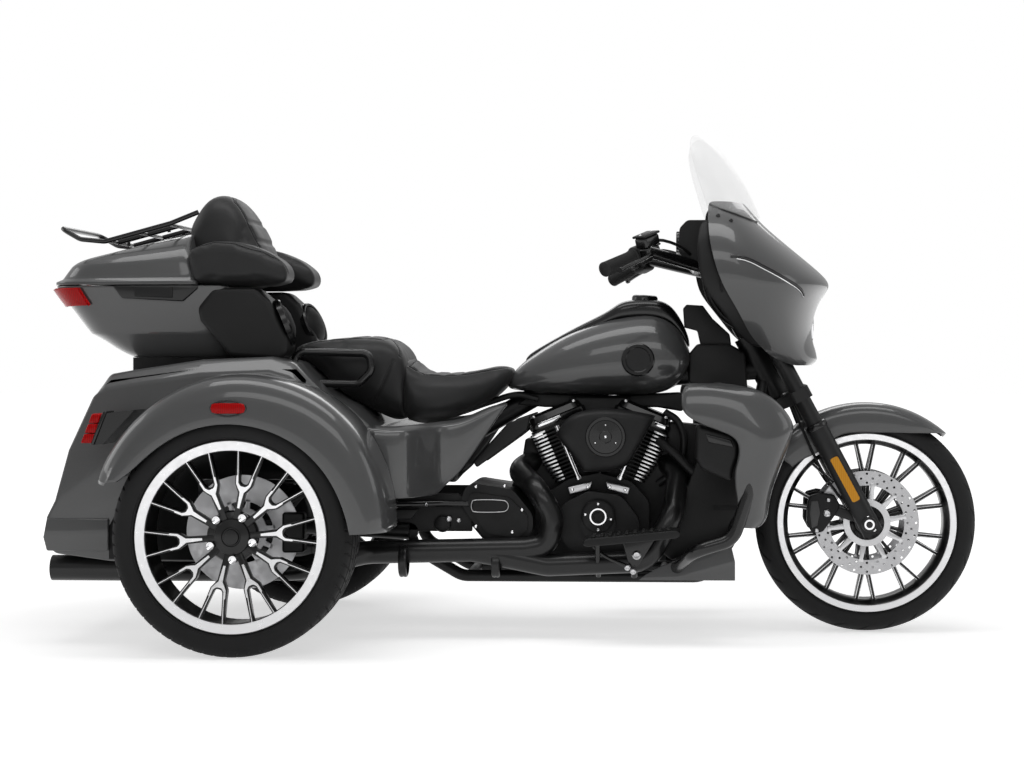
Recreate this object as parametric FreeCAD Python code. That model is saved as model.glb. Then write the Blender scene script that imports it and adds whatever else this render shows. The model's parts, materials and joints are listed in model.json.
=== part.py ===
import FreeCAD, Part
import math
import os
from functools import lru_cache

# A touring trike in millimetres. X points forward, Y to the rider's left, Z up.
# Pieces are laid out from the ground point under the rear axle. At the end they all move along X,
# so that the origin lies on the ground under the middle of the trike.

V = FreeCAD.Vector
Y_AXIS = V(0, 1, 0)
Z_AXIS = V(0, 0, 1)

# Overall
WHEELBASE = 1735.0
REAR_REACH = 605.0
FRONT_TYRE_RADIUS = 320.0
FRONT_TYRE_WIDTH = 130.0
REAR_TYRE_RADIUS = 323.0
REAR_TYRE_WIDTH = 215.0
HALF_TRACK = 563.0
HALF_WIDTH = 695.0
SEAM = 0.3
RUNNING_GAP = 8.0
PIN_GAP = 0.5
OVERRUN = 40.0
PLATE = 4.0

# Steering head
RAKE = math.radians(28.0)
FORK_OFFSET = 53.0
FORK_HALF_SPREAD = 121.0
HEAD_LOW = 442.0
HEAD_HIGH = 640.0
HEAD_RADIUS = 36.0
STEM_RADIUS = 17.0

# Front wheel
FRONT_RIM_RADIUS = 258.0
FRONT_BARREL_RADIUS = 238.0
FRONT_RIM_WIDTH = 104.0
FRONT_HUB_RADIUS = 42.0
FRONT_HUB_WIDTH = 130.0
FRONT_AXLE_RADIUS = 14.0
FRONT_AXLE_BORE = 9.0
FRONT_SPOKE_PAIRS = 10
FRONT_SPOKE_WIDTH = 13.0
FRONT_SPOKE_DEPTH = 30.0
FRONT_PAIR_HALF_ANGLE = 7.0
RIM_WALL = 7.0
DISC_RADIUS = 150.0
DISC_INNER = 108.0
DISC_THICK = 5.0
DISC_OFFSET = 75.0
CARRIER_ARMS = 5
CARRIER_WIDTH = 24.0
DISC_HOLES = 20
DISC_HOLE_RADIUS = 6.0

# Rear wheels
REAR_RIM_RADIUS = 257.0
REAR_BARREL_RADIUS = 230.0
REAR_RIM_WIDTH = 196.0
REAR_HUB_RADIUS = 78.0
REAR_HUB_THICK = 42.0
REAR_HUB_INSET = 30.0
REAR_CAP_RADIUS = 22.0
REAR_SPOKES = 10
REAR_SPOKE_DEPTH = 26.0
LUG_COUNT = 5
LUG_CIRCLE = 62.0
LUG_RADIUS = 10.0
LUG_HEIGHT = 14.0
REAR_DISC_RADIUS = 156.0
REAR_DISC_Y = 486.0
REAR_DISC_THICK = 8.0
STUB_RADIUS = 25.0
FULL_CIRCLE = 360.0

# Rear axle, swingarm and shocks
AXLE_TUBE_RADIUS = 42.0
DRIVE_RADIUS = 105.0
DRIVE_WIDTH = 120.0
SWINGARM_HALF_SPREAD = 186.0
SWINGARM_RADIUS = 24.0
SWINGARM_PIVOT = (419.0, 300.0)
SHOCK_RADIUS = 22.0
SHOCK_ROD_RADIUS = 12.0
SHOCK_Y = 235.0
SHOCK_FOOT = (40.0, 372.0)
SHOCK_HEAD = (150.0, 452.5)
CALIPER_LENGTH = 110.0
CALIPER_HEIGHT = 62.0
CALIPER_WIDTH = 44.0

# Frame tubes
BACKBONE_RADIUS = 30.0
RAIL_RADIUS = 17.0
CROSS_RADIUS = 14.0
RAIL_HALF_SPREAD = 140.0
RAIL_BEND = 70.0
FRAME_LENGTH = 1100.0
FRAME_HEIGHT = 640.0
FRAME_REAR_X = 390.0
FRAME_LOW_Z = 150.0
RAIL_Z = 169.0
SHELF_REAR_X = -100.0
COVER_PEG_Z = 475.0
TANK_PEG_X = 1118.0
TANK_PEG_Z = 741.0
PEG_RADIUS = 11.0

# Engine
CRANK_X = 961.0
CRANK_Z = 322.0
V_HALF_ANGLE = 22.5
CASE_HALF_WIDTH = 105.0
CASE_LENGTH = 330.0
CASE_HEIGHT = 279.0
CASE_LOW_Z = RAIL_Z + CROSS_RADIUS + SEAM
CASE_REAR_X = 775.0
BARREL_RADIUS = 62.0
HEAD_TOP = 312.0
FIN_COUNT = 14
FIN_THICK = 4.0
FIN_LENGTH = 188.0
FIN_WIDTH = 176.0
FIN_CORNER = 26.0
ROCKER_HEIGHT = 46.0
ROCKER_CORNER = 16.0
PUSHROD_RADIUS = 9.0
PUSHROD_Y = 120.0
COVER_Y = 200.0
CAM_RADIUS = 49.0
CAM_LENGTH = 240.0
CAM_HEIGHT = 190.0
CAM_THICK = 78.0
PRIMARY_LENGTH = 560.0
PRIMARY_HEIGHT = 215.0
PRIMARY_THICK = 95.0
PRIMARY_REAR_X = 545.0
PRIMARY_LOW_Z = 215.0
GEARBOX_HEIGHT = 200.0
GEARBOX_REAR_X = 565.0
GEARBOX_LENGTH = CASE_REAR_X - SEAM - GEARBOX_REAR_X
GEARBOX_LOW_Z = 262.0
CLEANER_LENGTH = 287.0
CLEANER_HEIGHT = 182.0
CLEANER_REAR_X = 839.0
CLEANER_LOW_Z = 473.0
CLEANER_IN_Y = 165.0
CLEANER_OUT_Y = 262.0
CLEANER_DISC_RADIUS = 55.0
COVER_DISC_X = 690.0
COVER_DISC_Z = 322.0
COVER_DISC_RADIUS = 68.0
COVER_DISC_THICK = 7.0

# Exhaust
PIPE_RADIUS = 33.0
PIPE_BEND = 80.0
PIPE_Y = 232.0
MUFFLER_RADIUS = 36.0
MUFFLER_Y = 340.0
MUFFLER_Z = 207.0
MUFFLER_LENGTH = 620.0
MUFFLER_END_X = -572.0
MUFFLER_WALL = 3.0
MUFFLER_DEPTH = 120.0

# Fuel tank and console
TANK_REAR_X = 691.0
TANK_LENGTH = 534.0
TANK_LOW_Z = 687.0
TANK_HEIGHT = 243.0
TANK_HALF_WIDTH = 158.0
TUNNEL_HALF_WIDTH = 42.0
TUNNEL_HEIGHT = 96.0
CONSOLE_REAR_X = 735.0
CONSOLE_LENGTH = 488.0
CONSOLE_LOW_Z = 770.0
CONSOLE_HEIGHT = 198.0
CONSOLE_HALF_WIDTH = 58.0
BADGE_RADIUS = 47.0
BADGE_X = 1074.0
BADGE_Z = 786.0
BADGE_THICK = 4.0

# Seat and passenger loops
SEAT_REAR_X = 67.0
SEAT_LENGTH = 640.0
SEAT_LOW_Z = 611.0
SEAT_HEIGHT = 243.0
SEAT_HALF_WIDTH = 205.0
LOOP_RADIUS = 11.0
LOOP_Y = 232.0
LOOP_BEND = 30.0

# Side covers
SIDE_COVER_REAR_X = 288.0
SIDE_COVER_LENGTH = 413.0
SIDE_COVER_LOW_Z = 408.0
SIDE_COVER_HEIGHT = 261.0
SIDE_COVER_Y = 196.0
SIDE_COVER_THICK = 42.0

# Rear body
BODY_REAR_X = -578.0
BODY_LENGTH = 991.0
BODY_LOW_Z = 233.0
BODY_HEIGHT = 569.0
BODY_HALF_WIDTH = 416.0
BODY_CORNER = 40.0
TRUNK_REAR_X = -545.0
TRUNK_LENGTH = 700.0
TRUNK_LOW_Z = 262.0
TRUNK_HEIGHT = 505.0
TRUNK_HALF_WIDTH = 400.0
DOOR_HALF_WIDTH = 300.0
DOOR_LOW_Z = 356.0
DOOR_HIGH_Z = 668.0
DOOR_GAP = 6.0
DOOR_CORNER = 36.0
PLATE_BRACKET_WIDTH = 180.0
PLATE_BRACKET_HEIGHT = 104.0
PLATE_BRACKET_Z = 424.0
PLATE_HOLE_SPREAD = 146.0
PLATE_HOLE_RISE = 70.0
PLATE_HOLE_RADIUS = 3.5
PLATE_STANDOFF = 26.0

# Rear fenders
FENDER_RADIUS_X = 395.0
FENDER_RADIUS_Z = 433.0
FENDER_SHIFT_X = 22.0
FENDER_ROUND = 72.0
ARCH_RADIUS = 352.0
LIP_RADIUS = 306.0
LIP_THICK = 12.0
FENDER_IN_Y = 416.0
FENDER_FRONT_Z = 338.0
FENDER_REAR_Z = 470.0

# Lamps
TAIL_X = -436.0
TAIL_LENGTH = 67.0
TAIL_Z = 567.0
TAIL_HEIGHT = 82.0
TAIL_Y = 470.0
TAIL_WIDTH = 70.0
MARKER_X = 2.0
MARKER_Z = 664.0
MARKER_LENGTH = 98.0
MARKER_HEIGHT = 34.0
MARKER_THICK = 8.0
BOX_LAMP_REAR_X = -615.0
BOX_LAMP_LENGTH = 99.0
BOX_LAMP_Z = 949.0
BOX_LAMP_HEIGHT = 42.0
BOX_LAMP_IN_Y = 165.0
BOX_LAMP_THICK = 4.0

# Luggage box
BOX_REAR_X = -605.0
BOX_LENGTH = 515.0
BOX_LOW_Z = 799.0
BOX_HEIGHT = 206.0
BOX_HALF_WIDTH = 298.0
BOX_CORNER = 120.0
BOX_WALL = 5.0
LID_HEIGHT = 160.0
HINGE_LIFT = 3.0
HINGE_OUT = 14.0
LATCH_LENGTH = 246.0
LATCH_HEIGHT = 44.0
LATCH_THICK = 12.0
LATCH_REAR_X = -414.0
CARRIER_HALF_SPREAD = 150.0

# Speaker pods and backrest
POD_REAR_X = -166.0
POD_LENGTH = 256.0
POD_LOW_Z = 802.0
POD_HEIGHT = 190.0
POD_IN_Y = 175.0
POD_OUT_Y = 300.0
SPEAKER_RADIUS = 46.0
SPEAKER_DEPTH = 10.0
BACKREST_REAR_X = -243.0
BACKREST_LENGTH = 227.0
BACKREST_LOW_Z = 1008.0
BACKREST_HEIGHT = 275.0
BACKREST_HALF_WIDTH = 176.0
ARM_REAR_X = -167.0
ARM_LENGTH = 256.0
ARM_LOW_Z = 999.0
ARM_HEIGHT = 130.0
ARM_IN_Y = 176.0
ARM_OUT_Y = 300.0
RACK_REAR_X = -590.0
RACK_LENGTH = 400.0
RACK_LOW_Z = 1133.0
RACK_RISE = 84.0
RACK_HALF_WIDTH = 203.0
RACK_RADIUS = 7.0
RACK_BAR_RADIUS = 5.5
RACK_BEND = 40.0

# Fairing
FAIRING_LOW_Z = 783.0
FAIRING_HEIGHT = 461.0
FAIRING_REAR_X = 1272.0
FAIRING_LENGTH = 358.0
FAIRING_HALF_WIDTH = 372.0
FAIRING_WALL = 6.0
SHIELD_WALL = 4.0
DASH_LOW_Z = 860.0
DASH_HEIGHT = 330.0
HEADLAMP_RADIUS = 74.0
HEADLAMP_Z = 898.0
HEADLAMP_DEPTH = 60.0

# Handlebar
BAR_RADIUS = 16.0
BAR_BEND = 60.0
GRIP_RADIUS = 20.0
GRIP_LENGTH = 128.0
GRIP_END = (985.0, 437.0, 1040.0)
GRIP_DIRECTION = (0.62, -0.72, 0.30)

# Fork
SLIDER_RADIUS = 30.0
SLIDER_LENGTH = 320.0
TUBE_RADIUS = 24.5
CLAMP_HEIGHT = 34.0
CLAMP_LOW = 402.0
CLAMP_HIGH = 645.0
LEG_TOP = 690.0

# Front fender
FRONT_FENDER_RADIUS = 348.0
FRONT_FENDER_HALF_WIDTH = 84.0
FRONT_FENDER_ROUND = 40.0
FRONT_FENDER_X = 1498.0
FRONT_FENDER_LENGTH = 471.0
FRONT_FENDER_Z = 483.0
FRONT_FENDER_HEIGHT = 185.0

# Lower fairings, engine guard, radiator and spoiler
LOWER_ROUND = 24.0
LOWER_REAR_X = 1196.0
LOWER_LENGTH = 310.0
LOWER_LOW_Z = 328.0
LOWER_HEIGHT = 397.0
LOWER_IN_Y = 215.0
LOWER_OUT_Y = 405.0
LOWER_WALL = 8.0
VENT_REAR_X = 1234.0
VENT_LENGTH = 126.0
VENT_LOW_Z = 454.0
VENT_HEIGHT = 164.0
GUARD_RADIUS = 19.0
GUARD_BEND = 60.0
GUARD_HALF_WIDTH = 372.0
RADIATOR_X = 1272.0
RADIATOR_DEPTH = 36.0
RADIATOR_LOW_Z = 320.0
RADIATOR_HEIGHT = 230.0
RADIATOR_HALF_WIDTH = 105.0
SPOILER_REAR_X = 1194.0
SPOILER_LENGTH = 168.0
SPOILER_LOW_Z = 165.0
SPOILER_HEIGHT = 150.0
SPOILER_HALF_WIDTH = 190.0

# Foot controls
BOARD_REAR_X = 925.0
BOARD_LENGTH = 270.0
BOARD_Z = 276.0
BOARD_THICK = 22.0
BOARD_RISE = 26.0
BOARD_IN_Y = 272.0
BOARD_OUT_Y = 385.0
PEDAL_RADIUS = 9.0

# Shapes, details
MIN_TURN = 0.01
ARC_SHARE = 0.45
ROUND_LIMIT = 0.92
WING_SHARE = 0.42
WING_WIDE_SHARE = 0.93
SHOULDER_SHARE = 0.85
SHOULDER_WIDE_SHARE = 0.50

# Wheels, details
SPOKE_ROOT_SHARE = 0.85

# Frame, details
DRIVE_ROUND = 18.0
SHOCK_BODY_SHARE = 0.85
CALIPER_ROUND = 8.0
PAD_GAP = 5.0

# Engine, details
CASE_ROUND = 50.0
PORT_RISE = 235.0
PORT_Y = 20.0
PORT_LENGTH = 12.0
PORT_RADIUS = 30.0
CYLINDER_FOOT = 96.0
FIN_START = 152.0
FIN_GROW_SHARE = 0.84
FIN_FULL_SHARE = 0.4
ROCKER_SEAT_SHARE = 0.94
MID_PLANE_GAP = 1.5
ROCKER_STEP_SHARE = 0.42
ROCKER_CAP_SHARE = 0.88
PUSHROD_LEAN = 6.0
PUSHROD_LENGTH = 168.0
TAPPET_SHARE = 0.24
TAPPET_LENGTH = 62.0
TAPPET_DEPTH = 44.0
TAPPET_HEIGHT = 40.0
CLEANER_ROUND = 24.0
INTAKE_RADIUS = 34.0

# Exhaust, details
HEADER_X = 300.0
HEADER_LENGTH = 760.0
HEADER_Z = 160.0
HEADER_HEIGHT = 380.0

# Tank, console, seat, details
TANK_LOW_ROUND_SHARE = 0.25
TANK_HIGH_ROUND_SHARE = 0.80
CONSOLE_ROUND_SHARE = 0.5
SEAT_LOW_SHARE = 0.2
SEAT_HIGH_SHARE = 0.5
SIDE_COVER_ROUND = 20.0

# Rear body, details
DOOR_DEPTH = 215.0
DOOR_HINGE_X = -570.0
DOOR_HINGE_Z = 350.0
DOOR_HINGE_Y = 190.0
KNUCKLE_LENGTH = 32.0
KNUCKLE_RADIUS = 8.0
KNUCKLE_PIN_RADIUS = 3.5
PLATE_REACH = 80.0

# Luggage box, details
HINGE_RADIUS = 6.0
CARRIER_REAR_SHARE = 0.42
CARRIER_HALF_RAIL = 18.0
CARRIER_DROP = 60.0
POD_ROUND = 26.0
RACK_FOOT_Y = 90.0
RACK_FOOT_RADIUS = 4.5
RACK_DROP = 110.0

# Steered pieces, details
AXLE_NUT = 8.0
CLAMP_RIM = 8.0
REFLECTOR_WIDTH = 24.0
REFLECTOR_LENGTH = 140.0
REFLECTOR_LOW = 78.0
HOUSING_LENGTH = 46.0
HOUSING_RADIUS = 24.0
LEVER_FORWARD = 62.0
LEVER_RADIUS = 6.0
FENDER_LUG = 268.0
FENDER_LUG_RADIUS = 12.0
HEADLAMP_NOSE_SHARE = 0.88
DASH_INSET = 34.0
DASH_REAR_X = 1190.0
DASH_LENGTH = 122.0
DASH_HALF_WIDTH = 205.0
RISER_Y = 45.0
RISER_RADIUS = 13.0
BAR_REACH = 60.0
BAR_FORWARD = 40.0
BAR_RISE = 120.0
BAR_CENTRE = 60.0

# Lower fairings and the rest of the front, details
VENT_ROUND = 18.0
BRACKET_BEND = 20.0

# Share tables: outlines and stations as shares of the sizes named beside each piece
RAIL_SHARE = (RAIL_Z - FRAME_LOW_Z) / FRAME_HEIGHT
FRONT_TYRE_SHARES = [(0.30, 0.98), (0.55, 0.96), (0.82, 0.70), (1.0, 0.20)]
REAR_TYRE_SHARES = [(0.40, 1.0), (0.72, 0.985), (0.94, 0.86), (1.0, 0.66)]
FRAME_BACKBONE_SHARES = [(0.945, 0.96), (0.40, 0.89), (0.20, 0.69), (0.06, 0.60)]
FRAME_CRADLE_SHARES = [(0.955, 0.90), (0.865, 0.20), (0.80, RAIL_SHARE), (0.16, RAIL_SHARE), (0.03, 0.16),
                       (0.0, 0.52), (0.16, 0.665)]
CASE_SHARES = [(0.10, 0.0), (0.86, 0.0), (1.0, 0.25), (1.0, 0.72), (0.84, 0.92), (0.56, 1.0),
               (0.30, 0.94), (0.0, 0.72), (0.0, 0.20)]
CAM_SHARES = [(0.16, 0.10), (0.62, 0.0), (0.95, 0.16), (1.0, 0.55), (0.78, 0.92), (0.40, 1.0),
              (0.06, 0.80), (0.0, 0.40)]
PRIMARY_SHARES = [(0.14, 0.06), (0.80, 0.0), (0.95, 0.14), (1.0, 0.46), (0.92, 0.82), (0.74, 0.94),
                  (0.34, 1.0), (0.08, 0.88), (0.0, 0.50)]
GEARBOX_SHARES = [(0.34, 0.10), (0.82, 0.0), (1.0, 0.20), (1.0, 0.44), (0.72, 0.80), (0.10, 0.90),
                  (0.0, 0.60)]
CLEANER_SHARES = [(0.0, 0.58), (0.10, 0.84), (0.21, 0.95), (0.46, 1.0), (0.72, 0.97), (1.0, 0.88),
                  (0.74, 0.14), (0.63, 0.0), (0.28, 0.0), (0.18, 0.25)]
TANK_SHARES = [(0.0, 0.06, 0.17, 0.22), (0.06, 0.05, 0.38, 0.44), (0.16, 0.03, 0.54, 0.66),
               (0.33, 0.0, 0.76, 0.88), (0.55, 0.0, 0.92, 1.0), (0.78, 0.0, 1.0, 1.0),
               (0.89, 0.05, 0.92, 0.92), (0.96, 0.14, 0.76, 0.74), (1.0, 0.30, 0.55, 0.48)]
CONSOLE_SHARES = [(0.0, 0.0, 0.14, 0.30), (0.16, 0.10, 0.42, 0.56), (0.33, 0.30, 0.62, 0.72),
                  (0.50, 0.45, 0.83, 0.85), (0.60, 0.50, 0.97, 1.0), (0.74, 0.50, 1.0, 1.0),
                  (0.86, 0.45, 0.97, 0.95), (0.94, 0.30, 0.76, 0.85), (1.0, 0.15, 0.42, 0.60)]
SEAT_SHARES = [(0.0, 0.81, 0.87, 0.62), (0.06, 0.80, 0.92, 0.76), (0.14, 0.75, 0.96, 0.85),
               (0.22, 0.60, 0.985, 0.91), (0.31, 0.34, 1.0, 0.95), (0.40, 0.12, 1.0, 0.98),
               (0.47, 0.04, 0.98, 1.0), (0.52, 0.01, 0.84, 1.0), (0.56, 0.0, 0.68, 0.99),
               (0.60, 0.0, 0.60, 0.97), (0.67, 0.03, 0.555, 0.93), (0.76, 0.09, 0.55, 0.83),
               (0.86, 0.20, 0.59, 0.63), (0.93, 0.35, 0.64, 0.46), (0.985, 0.50, 0.67, 0.30)]
REAR_SPOKE_SHARES = [(0.17, 0.039), (0.52, 0.048), (0.58, 0.087), (0.65, 0.107), (1.013, 0.180),
                     (1.013, 0.130), (0.68, 0.043), (0.652, 0.022)]
GEARBOX_PLATE_SHARES = [(0.36, 0.18), (0.80, 0.10), (0.93, 0.24), (0.93, 0.42), (0.68, 0.68),
                        (0.16, 0.76), (0.10, 0.60)]
LENS_SHARES = [(0.0, 0.0), (0.48, 0.0), (1.0, 1.0), (0.48, 0.97)]
STALK_SHARES = [(0.48, 0.0), (0.90, -0.04), (2.20, 1.10), (1.0, 1.0)]
BOX_LAMP_SHARES = [(0.0, 0.0), (1.0, 0.0), (0.91, 1.0), (0.0, 1.0)]
RACK_SHARES = [(1.0, 1.0), (0.80, 0.62), (0.32, 0.0), (0.14, 0.08), (0.0, 0.46)]
LOOP_SHARES = [(0.03, 0.66), (0.06, 0.84), (0.38, 0.82), (0.39, 0.62), (0.33, 0.46), (0.16, 0.47)]
SIDE_COVER_SHARES = [(0.0, 0.86), (0.10, 0.79), (0.58, 0.84), (0.80, 0.94), (1.0, 1.0), (0.67, 0.18),
                     (0.50, 0.0), (0.30, 0.0), (0.05, 0.62)]
BODY_STEP_SHARE = 0.40
BODY_SIDE_SHARES = [(0.19, 0.0), (0.03, 0.037), (0.013, 0.08), (0.0, 0.15), (0.032, 0.295),
                    (0.072, 0.543), (0.143, 0.812), (0.179, 0.914), (0.25, 0.935), (0.444, 0.986),
                    (0.64, 1.0), (0.70, 0.968), (0.788, 0.82), (0.86, 0.754), (0.923, 0.654), (1.0, 0.64),
                    (1.0, 0.50), (0.80, BODY_STEP_SHARE), (0.44, BODY_STEP_SHARE), (0.44, 0.0)]
BODY_BACK_SHARES = [(-0.97, 0.0), (-1.0, 0.10), (-1.0, 0.80), (-0.93, 0.92), (-0.70, 1.0), (0.70, 1.0),
                    (0.93, 0.92), (1.0, 0.80), (1.0, 0.10), (0.97, 0.0)]
TRUNK_SHARES = [(0.03, 0.0), (0.0, 0.12), (0.022, 0.25), (0.08, 0.55), (0.17, 0.88), (0.22, 0.94),
                (0.56, 1.0), (0.96, 1.0), (1.0, 0.94), (1.0, 0.42), (0.54, 0.42), (0.54, 0.0)]
BOX_SHARES = [(0.38, 0.0, 0.76), (0.27, 0.26, 0.88), (0.20, 0.36, 0.92), (0.09, 0.70, 0.98),
              (0.0, 1.0, 1.0)]
LID_SHARES = [(0.0, 0.0, 1.0, 0.845), (0.03, 0.08, 0.985, 0.84), (0.09, 0.35, 0.92, 0.82),
              (0.20, 0.56, 0.84, 0.80), (0.42, 0.82, 0.66, 0.775), (0.58, 1.0, 0.40, 0.75)]
POD_SHARES = [(0.0, 0.72), (0.16, 1.0), (0.64, 1.0), (0.80, 0.82), (1.0, 0.24), (0.99, 0.08), (0.91, 0.0),
              (0.34, 0.02), (0.02, 0.50)]
BACKREST_SHARES = [(0.0, 0.56), (0.10, 0.72), (0.18, 0.88), (0.30, 0.97), (0.42, 1.0), (0.56, 0.97),
                   (0.70, 0.86), (1.0, 0.38), (0.92, 0.0), (0.30, 0.0), (0.10, 0.40)]
ARM_SHARES = [(0.0, 0.90), (0.16, 1.0), (0.40, 0.98), (0.72, 0.77), (0.96, 0.52), (1.0, 0.28),
              (0.96, 0.06), (0.40, 0.04), (0.12, 0.10)]
FAIRING_SHARES = [(0.49, 0.89, 0.0, 0.47), (0.42, 0.89, 0.06, 0.48), (0.31, 0.86, 0.20, 0.60),
                  (0.18, 0.90, 0.36, 0.86), (0.07, 1.0, 0.48, 1.0), (0.04, 0.95, 0.56, 1.0),
                  (0.02, 0.70, 0.72, 0.90), (0.01, 0.52, 0.82, 0.76)]
SHIELD_SHARES = [(0.0, 0.445, 0.87, 0.70), (0.0, 0.44, 0.93, 0.65), (-0.02, 0.34, 1.09, 0.61),
                 (-0.08, 0.20, 1.25, 0.58), (-0.13, 0.06, 1.38, 0.52), (-0.15, -0.03, 1.44, 0.46)]
SHIELD_SEAM_SHARES = [(-1.0, 1.347), (2.0, 0.345), (2.0, 3.0), (-1.0, 3.0)]
FRONT_FENDER_SHARES = [(0.0, 0.12), (0.04, 0.0), (0.085, 0.0), (0.35, 0.30), (0.386, 0.465),
                       (0.448, 0.54), (0.75, 0.53), (0.90, 0.51), (1.0, 0.51), (1.0, 1.2), (-0.2, 1.2)]
LOWER_SHARES = [(0.0, 0.83), (0.01, 0.92), (0.07, 1.0), (0.34, 0.99), (0.66, 0.95), (0.87, 0.86),
                (0.97, 0.76), (1.0, 0.71), (0.98, 0.62), (0.87, 0.41), (0.78, 0.21), (0.76, 0.06),
                (0.69, 0.0), (0.52, 0.01), (0.44, 0.30), (0.46, 0.56), (0.36, 0.68), (0.14, 0.74)]
VENT_SHARES = [(0.02, 1.0), (0.85, 0.84), (1.0, 0.63), (0.98, 0.44), (0.85, 0.20), (0.82, 0.0),
               (0.10, 0.23), (0.0, 0.40)]
SPOILER_SHARES = [(0.0, 0.0), (0.83, 0.0), (0.86, 0.12), (0.83, 0.44), (0.87, 0.70), (1.0, 1.0),
                  (0.64, 0.62), (0.23, 0.60), (0.0, 0.39)]
FRAME_CROSS_SHARES = (0.69, 0.18)
ENGINE_MOUNT_SHARES = (0.22, 0.76)
PUSHROD_STEP_SHARES = (-0.07, 0.07)
CLEANER_DISC_SHARES = (0.5, 0.58)
CLEANER_TAPER_SHARES = ((0.0, 1.0), (0.62, 1.0), (1.0, 0.86))
REAR_HEADER_SHARES = [(0.555, 0.816), (0.645, 0.684), (0.705, 0.48), (0.68, 0.28), (0.60, 0.25),
                      (0.0, 0.22)]
REAR_HEADER_Y_SHARES = (0.30, 0.97, 1.0, 1.0, 1.0, 1.0)
FRONT_HEADER_SHARES = [(1.17, 0.776), (1.15, 0.50), (1.053, 0.163), (0.68, 0.13), (0.50, 0.20),
                       (0.40, 0.235)]
FRONT_HEADER_Y_SHARES = (0.39, 0.93, 1.0, 1.0, 1.0, 1.0)
LID_HINGE_SHARES = (0.32, 0.62)
LATCH_SHARES = [(0.0, 1.0), (1.0, 1.0), (1.0, 0.88), (0.82, 0.0), (0.11, 0.16)]
RACK_FOOT_SHARES = (0.42, 0.72)
RACK_BAR_SHARES = (0.34, 0.56, 0.78)
DASH_SHARES = [(0.0, 0.72), (0.02, 0.93), (0.20, 1.0), (1.0, 1.0), (1.0, 0.60), (0.40, 0.56)]
GUARD_SHARES = [(0.52, 0.66), (0.62, 0.50), (0.60, 0.24), (0.46, -0.08), (0.12, -0.16), (-0.08, -0.36)]
BRACKET_SHARES = (0.06, 0.60)
BOARD_SHARES = [(0.0, 0.0), (1.0, BOARD_RISE / BOARD_THICK), (1.0, 1 + BOARD_RISE / BOARD_THICK),
                (0.0, 1.0)]


def at(x, y, z):
    return V(x, y, z)


def place(shares, x0, z0, length, height, y=0.0):
    """Points of an XZ outline from its shares of a length and a height."""
    return [V(x0 + along * length, y, z0 + up * height) for along, up in shares]


def soft_edges(points, radius, closed):
    """Straight runs through the points, joined by tangent arcs of at most the radius."""
    count = len(points)
    starts = list(points)
    ends = list(points)
    arcs = {}
    for i in range(count):
        if not closed and i in (0, count - 1):
            continue
        here = points[i]
        back = points[i - 1] - here
        ahead = points[(i + 1) % count] - here
        short = min(back.Length, ahead.Length)
        back.normalize()
        ahead.normalize()
        turn = math.pi - back.getAngle(ahead)
        if turn < MIN_TURN:
            continue
        reach = min(radius * math.tan(turn / 2), ARC_SHARE * short)
        bend = reach / math.tan(turn / 2)
        middle = (back + ahead).normalize()
        centre = here + middle * (bend / math.cos(turn / 2))
        starts[i] = here + back * reach
        ends[i] = here + ahead * reach
        arcs[i] = centre - middle * bend
    edges = []
    for i in range(count):
        if i in arcs:
            edges.append(Part.Arc(starts[i], arcs[i], ends[i]).toShape())
        if closed or i < count - 1:
            follow = starts[(i + 1) % count]
            edges.append(Part.LineSegment(ends[i], follow).toShape())
    return edges


def slab(points, direction, radius=0.0):
    """A flat outline with rounded corners, extruded along a vector."""
    if radius > 0:
        wire = Part.Wire(soft_edges(points, radius, True))
    else:
        wire = Part.makePolygon(points + [points[0]])
    return Part.Face(wire).extrude(direction)


def side_slab(shares, x0, z0, length, height, y0, y1, radius=0.0):
    """A side outline given in shares, from one Y to another."""
    return slab(place(shares, x0, z0, length, height, y0), V(0, y1 - y0, 0), radius)


def block(x0, x1, y0, y1, z0, z1):
    return Part.makeBox(x1 - x0, y1 - y0, z1 - z0, V(x0, y0, z0))


def rod(start, end, radius):
    line = end - start
    return Part.makeCylinder(radius, line.Length, start, line)


def cross_rod(x, z, y0, y1, radius):
    return rod(V(x, y0, z), V(x, y1, z), radius)


def tube(points, bend, radius):
    """A round bar along runs joined by arcs: cylinders and pieces of a torus."""
    pieces = []
    for edge in soft_edges(points, bend, False):
        first, last = edge.FirstParameter, edge.LastParameter
        start, end = edge.valueAt(first), edge.valueAt(last)
        if isinstance(edge.Curve, Part.Line):
            pieces.append(rod(start, end, radius))
            continue
        disc = Part.Face(Part.Wire([Part.Circle(start, edge.tangentAt(first), radius).toShape()]))
        pieces.append(disc.revolve(edge.Curve.Center, edge.Curve.Axis, math.degrees(last - first)))
    return joined(pieces)


def flat_ring(x, half_width, low, high, low_round, high_round, centre=0.0):
    """A rounded rectangle across the trike at one X, with its own radii below and above."""
    foot = min(low_round, ROUND_LIMIT * min(half_width, (high - low) / 2))
    top = min(high_round, ROUND_LIMIT * min(half_width, (high - low) / 2))
    y0, y1 = centre - half_width, centre + half_width
    slant = 1 - math.sqrt(0.5)
    edges = []

    def line(a, b):
        edges.append(Part.LineSegment(V(x, *a), V(x, *b)).toShape())

    def arc(a, b, c):
        edges.append(Part.Arc(V(x, *a), V(x, *b), V(x, *c)).toShape())

    line((y0 + foot, low), (y1 - foot, low))
    arc((y1 - foot, low), (y1 - slant * foot, low + slant * foot), (y1, low + foot))
    line((y1, low + foot), (y1, high - top))
    arc((y1, high - top), (y1 - slant * top, high - slant * top), (y1 - top, high))
    line((y1 - top, high), (y0 + top, high))
    arc((y0 + top, high), (y0 + slant * top, high - slant * top), (y0, high - top))
    line((y0, high - top), (y0, low + foot))
    arc((y0, low + foot), (y0 + slant * foot, low + slant * foot), (y0 + foot, low))
    return Part.Wire(edges)


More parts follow.
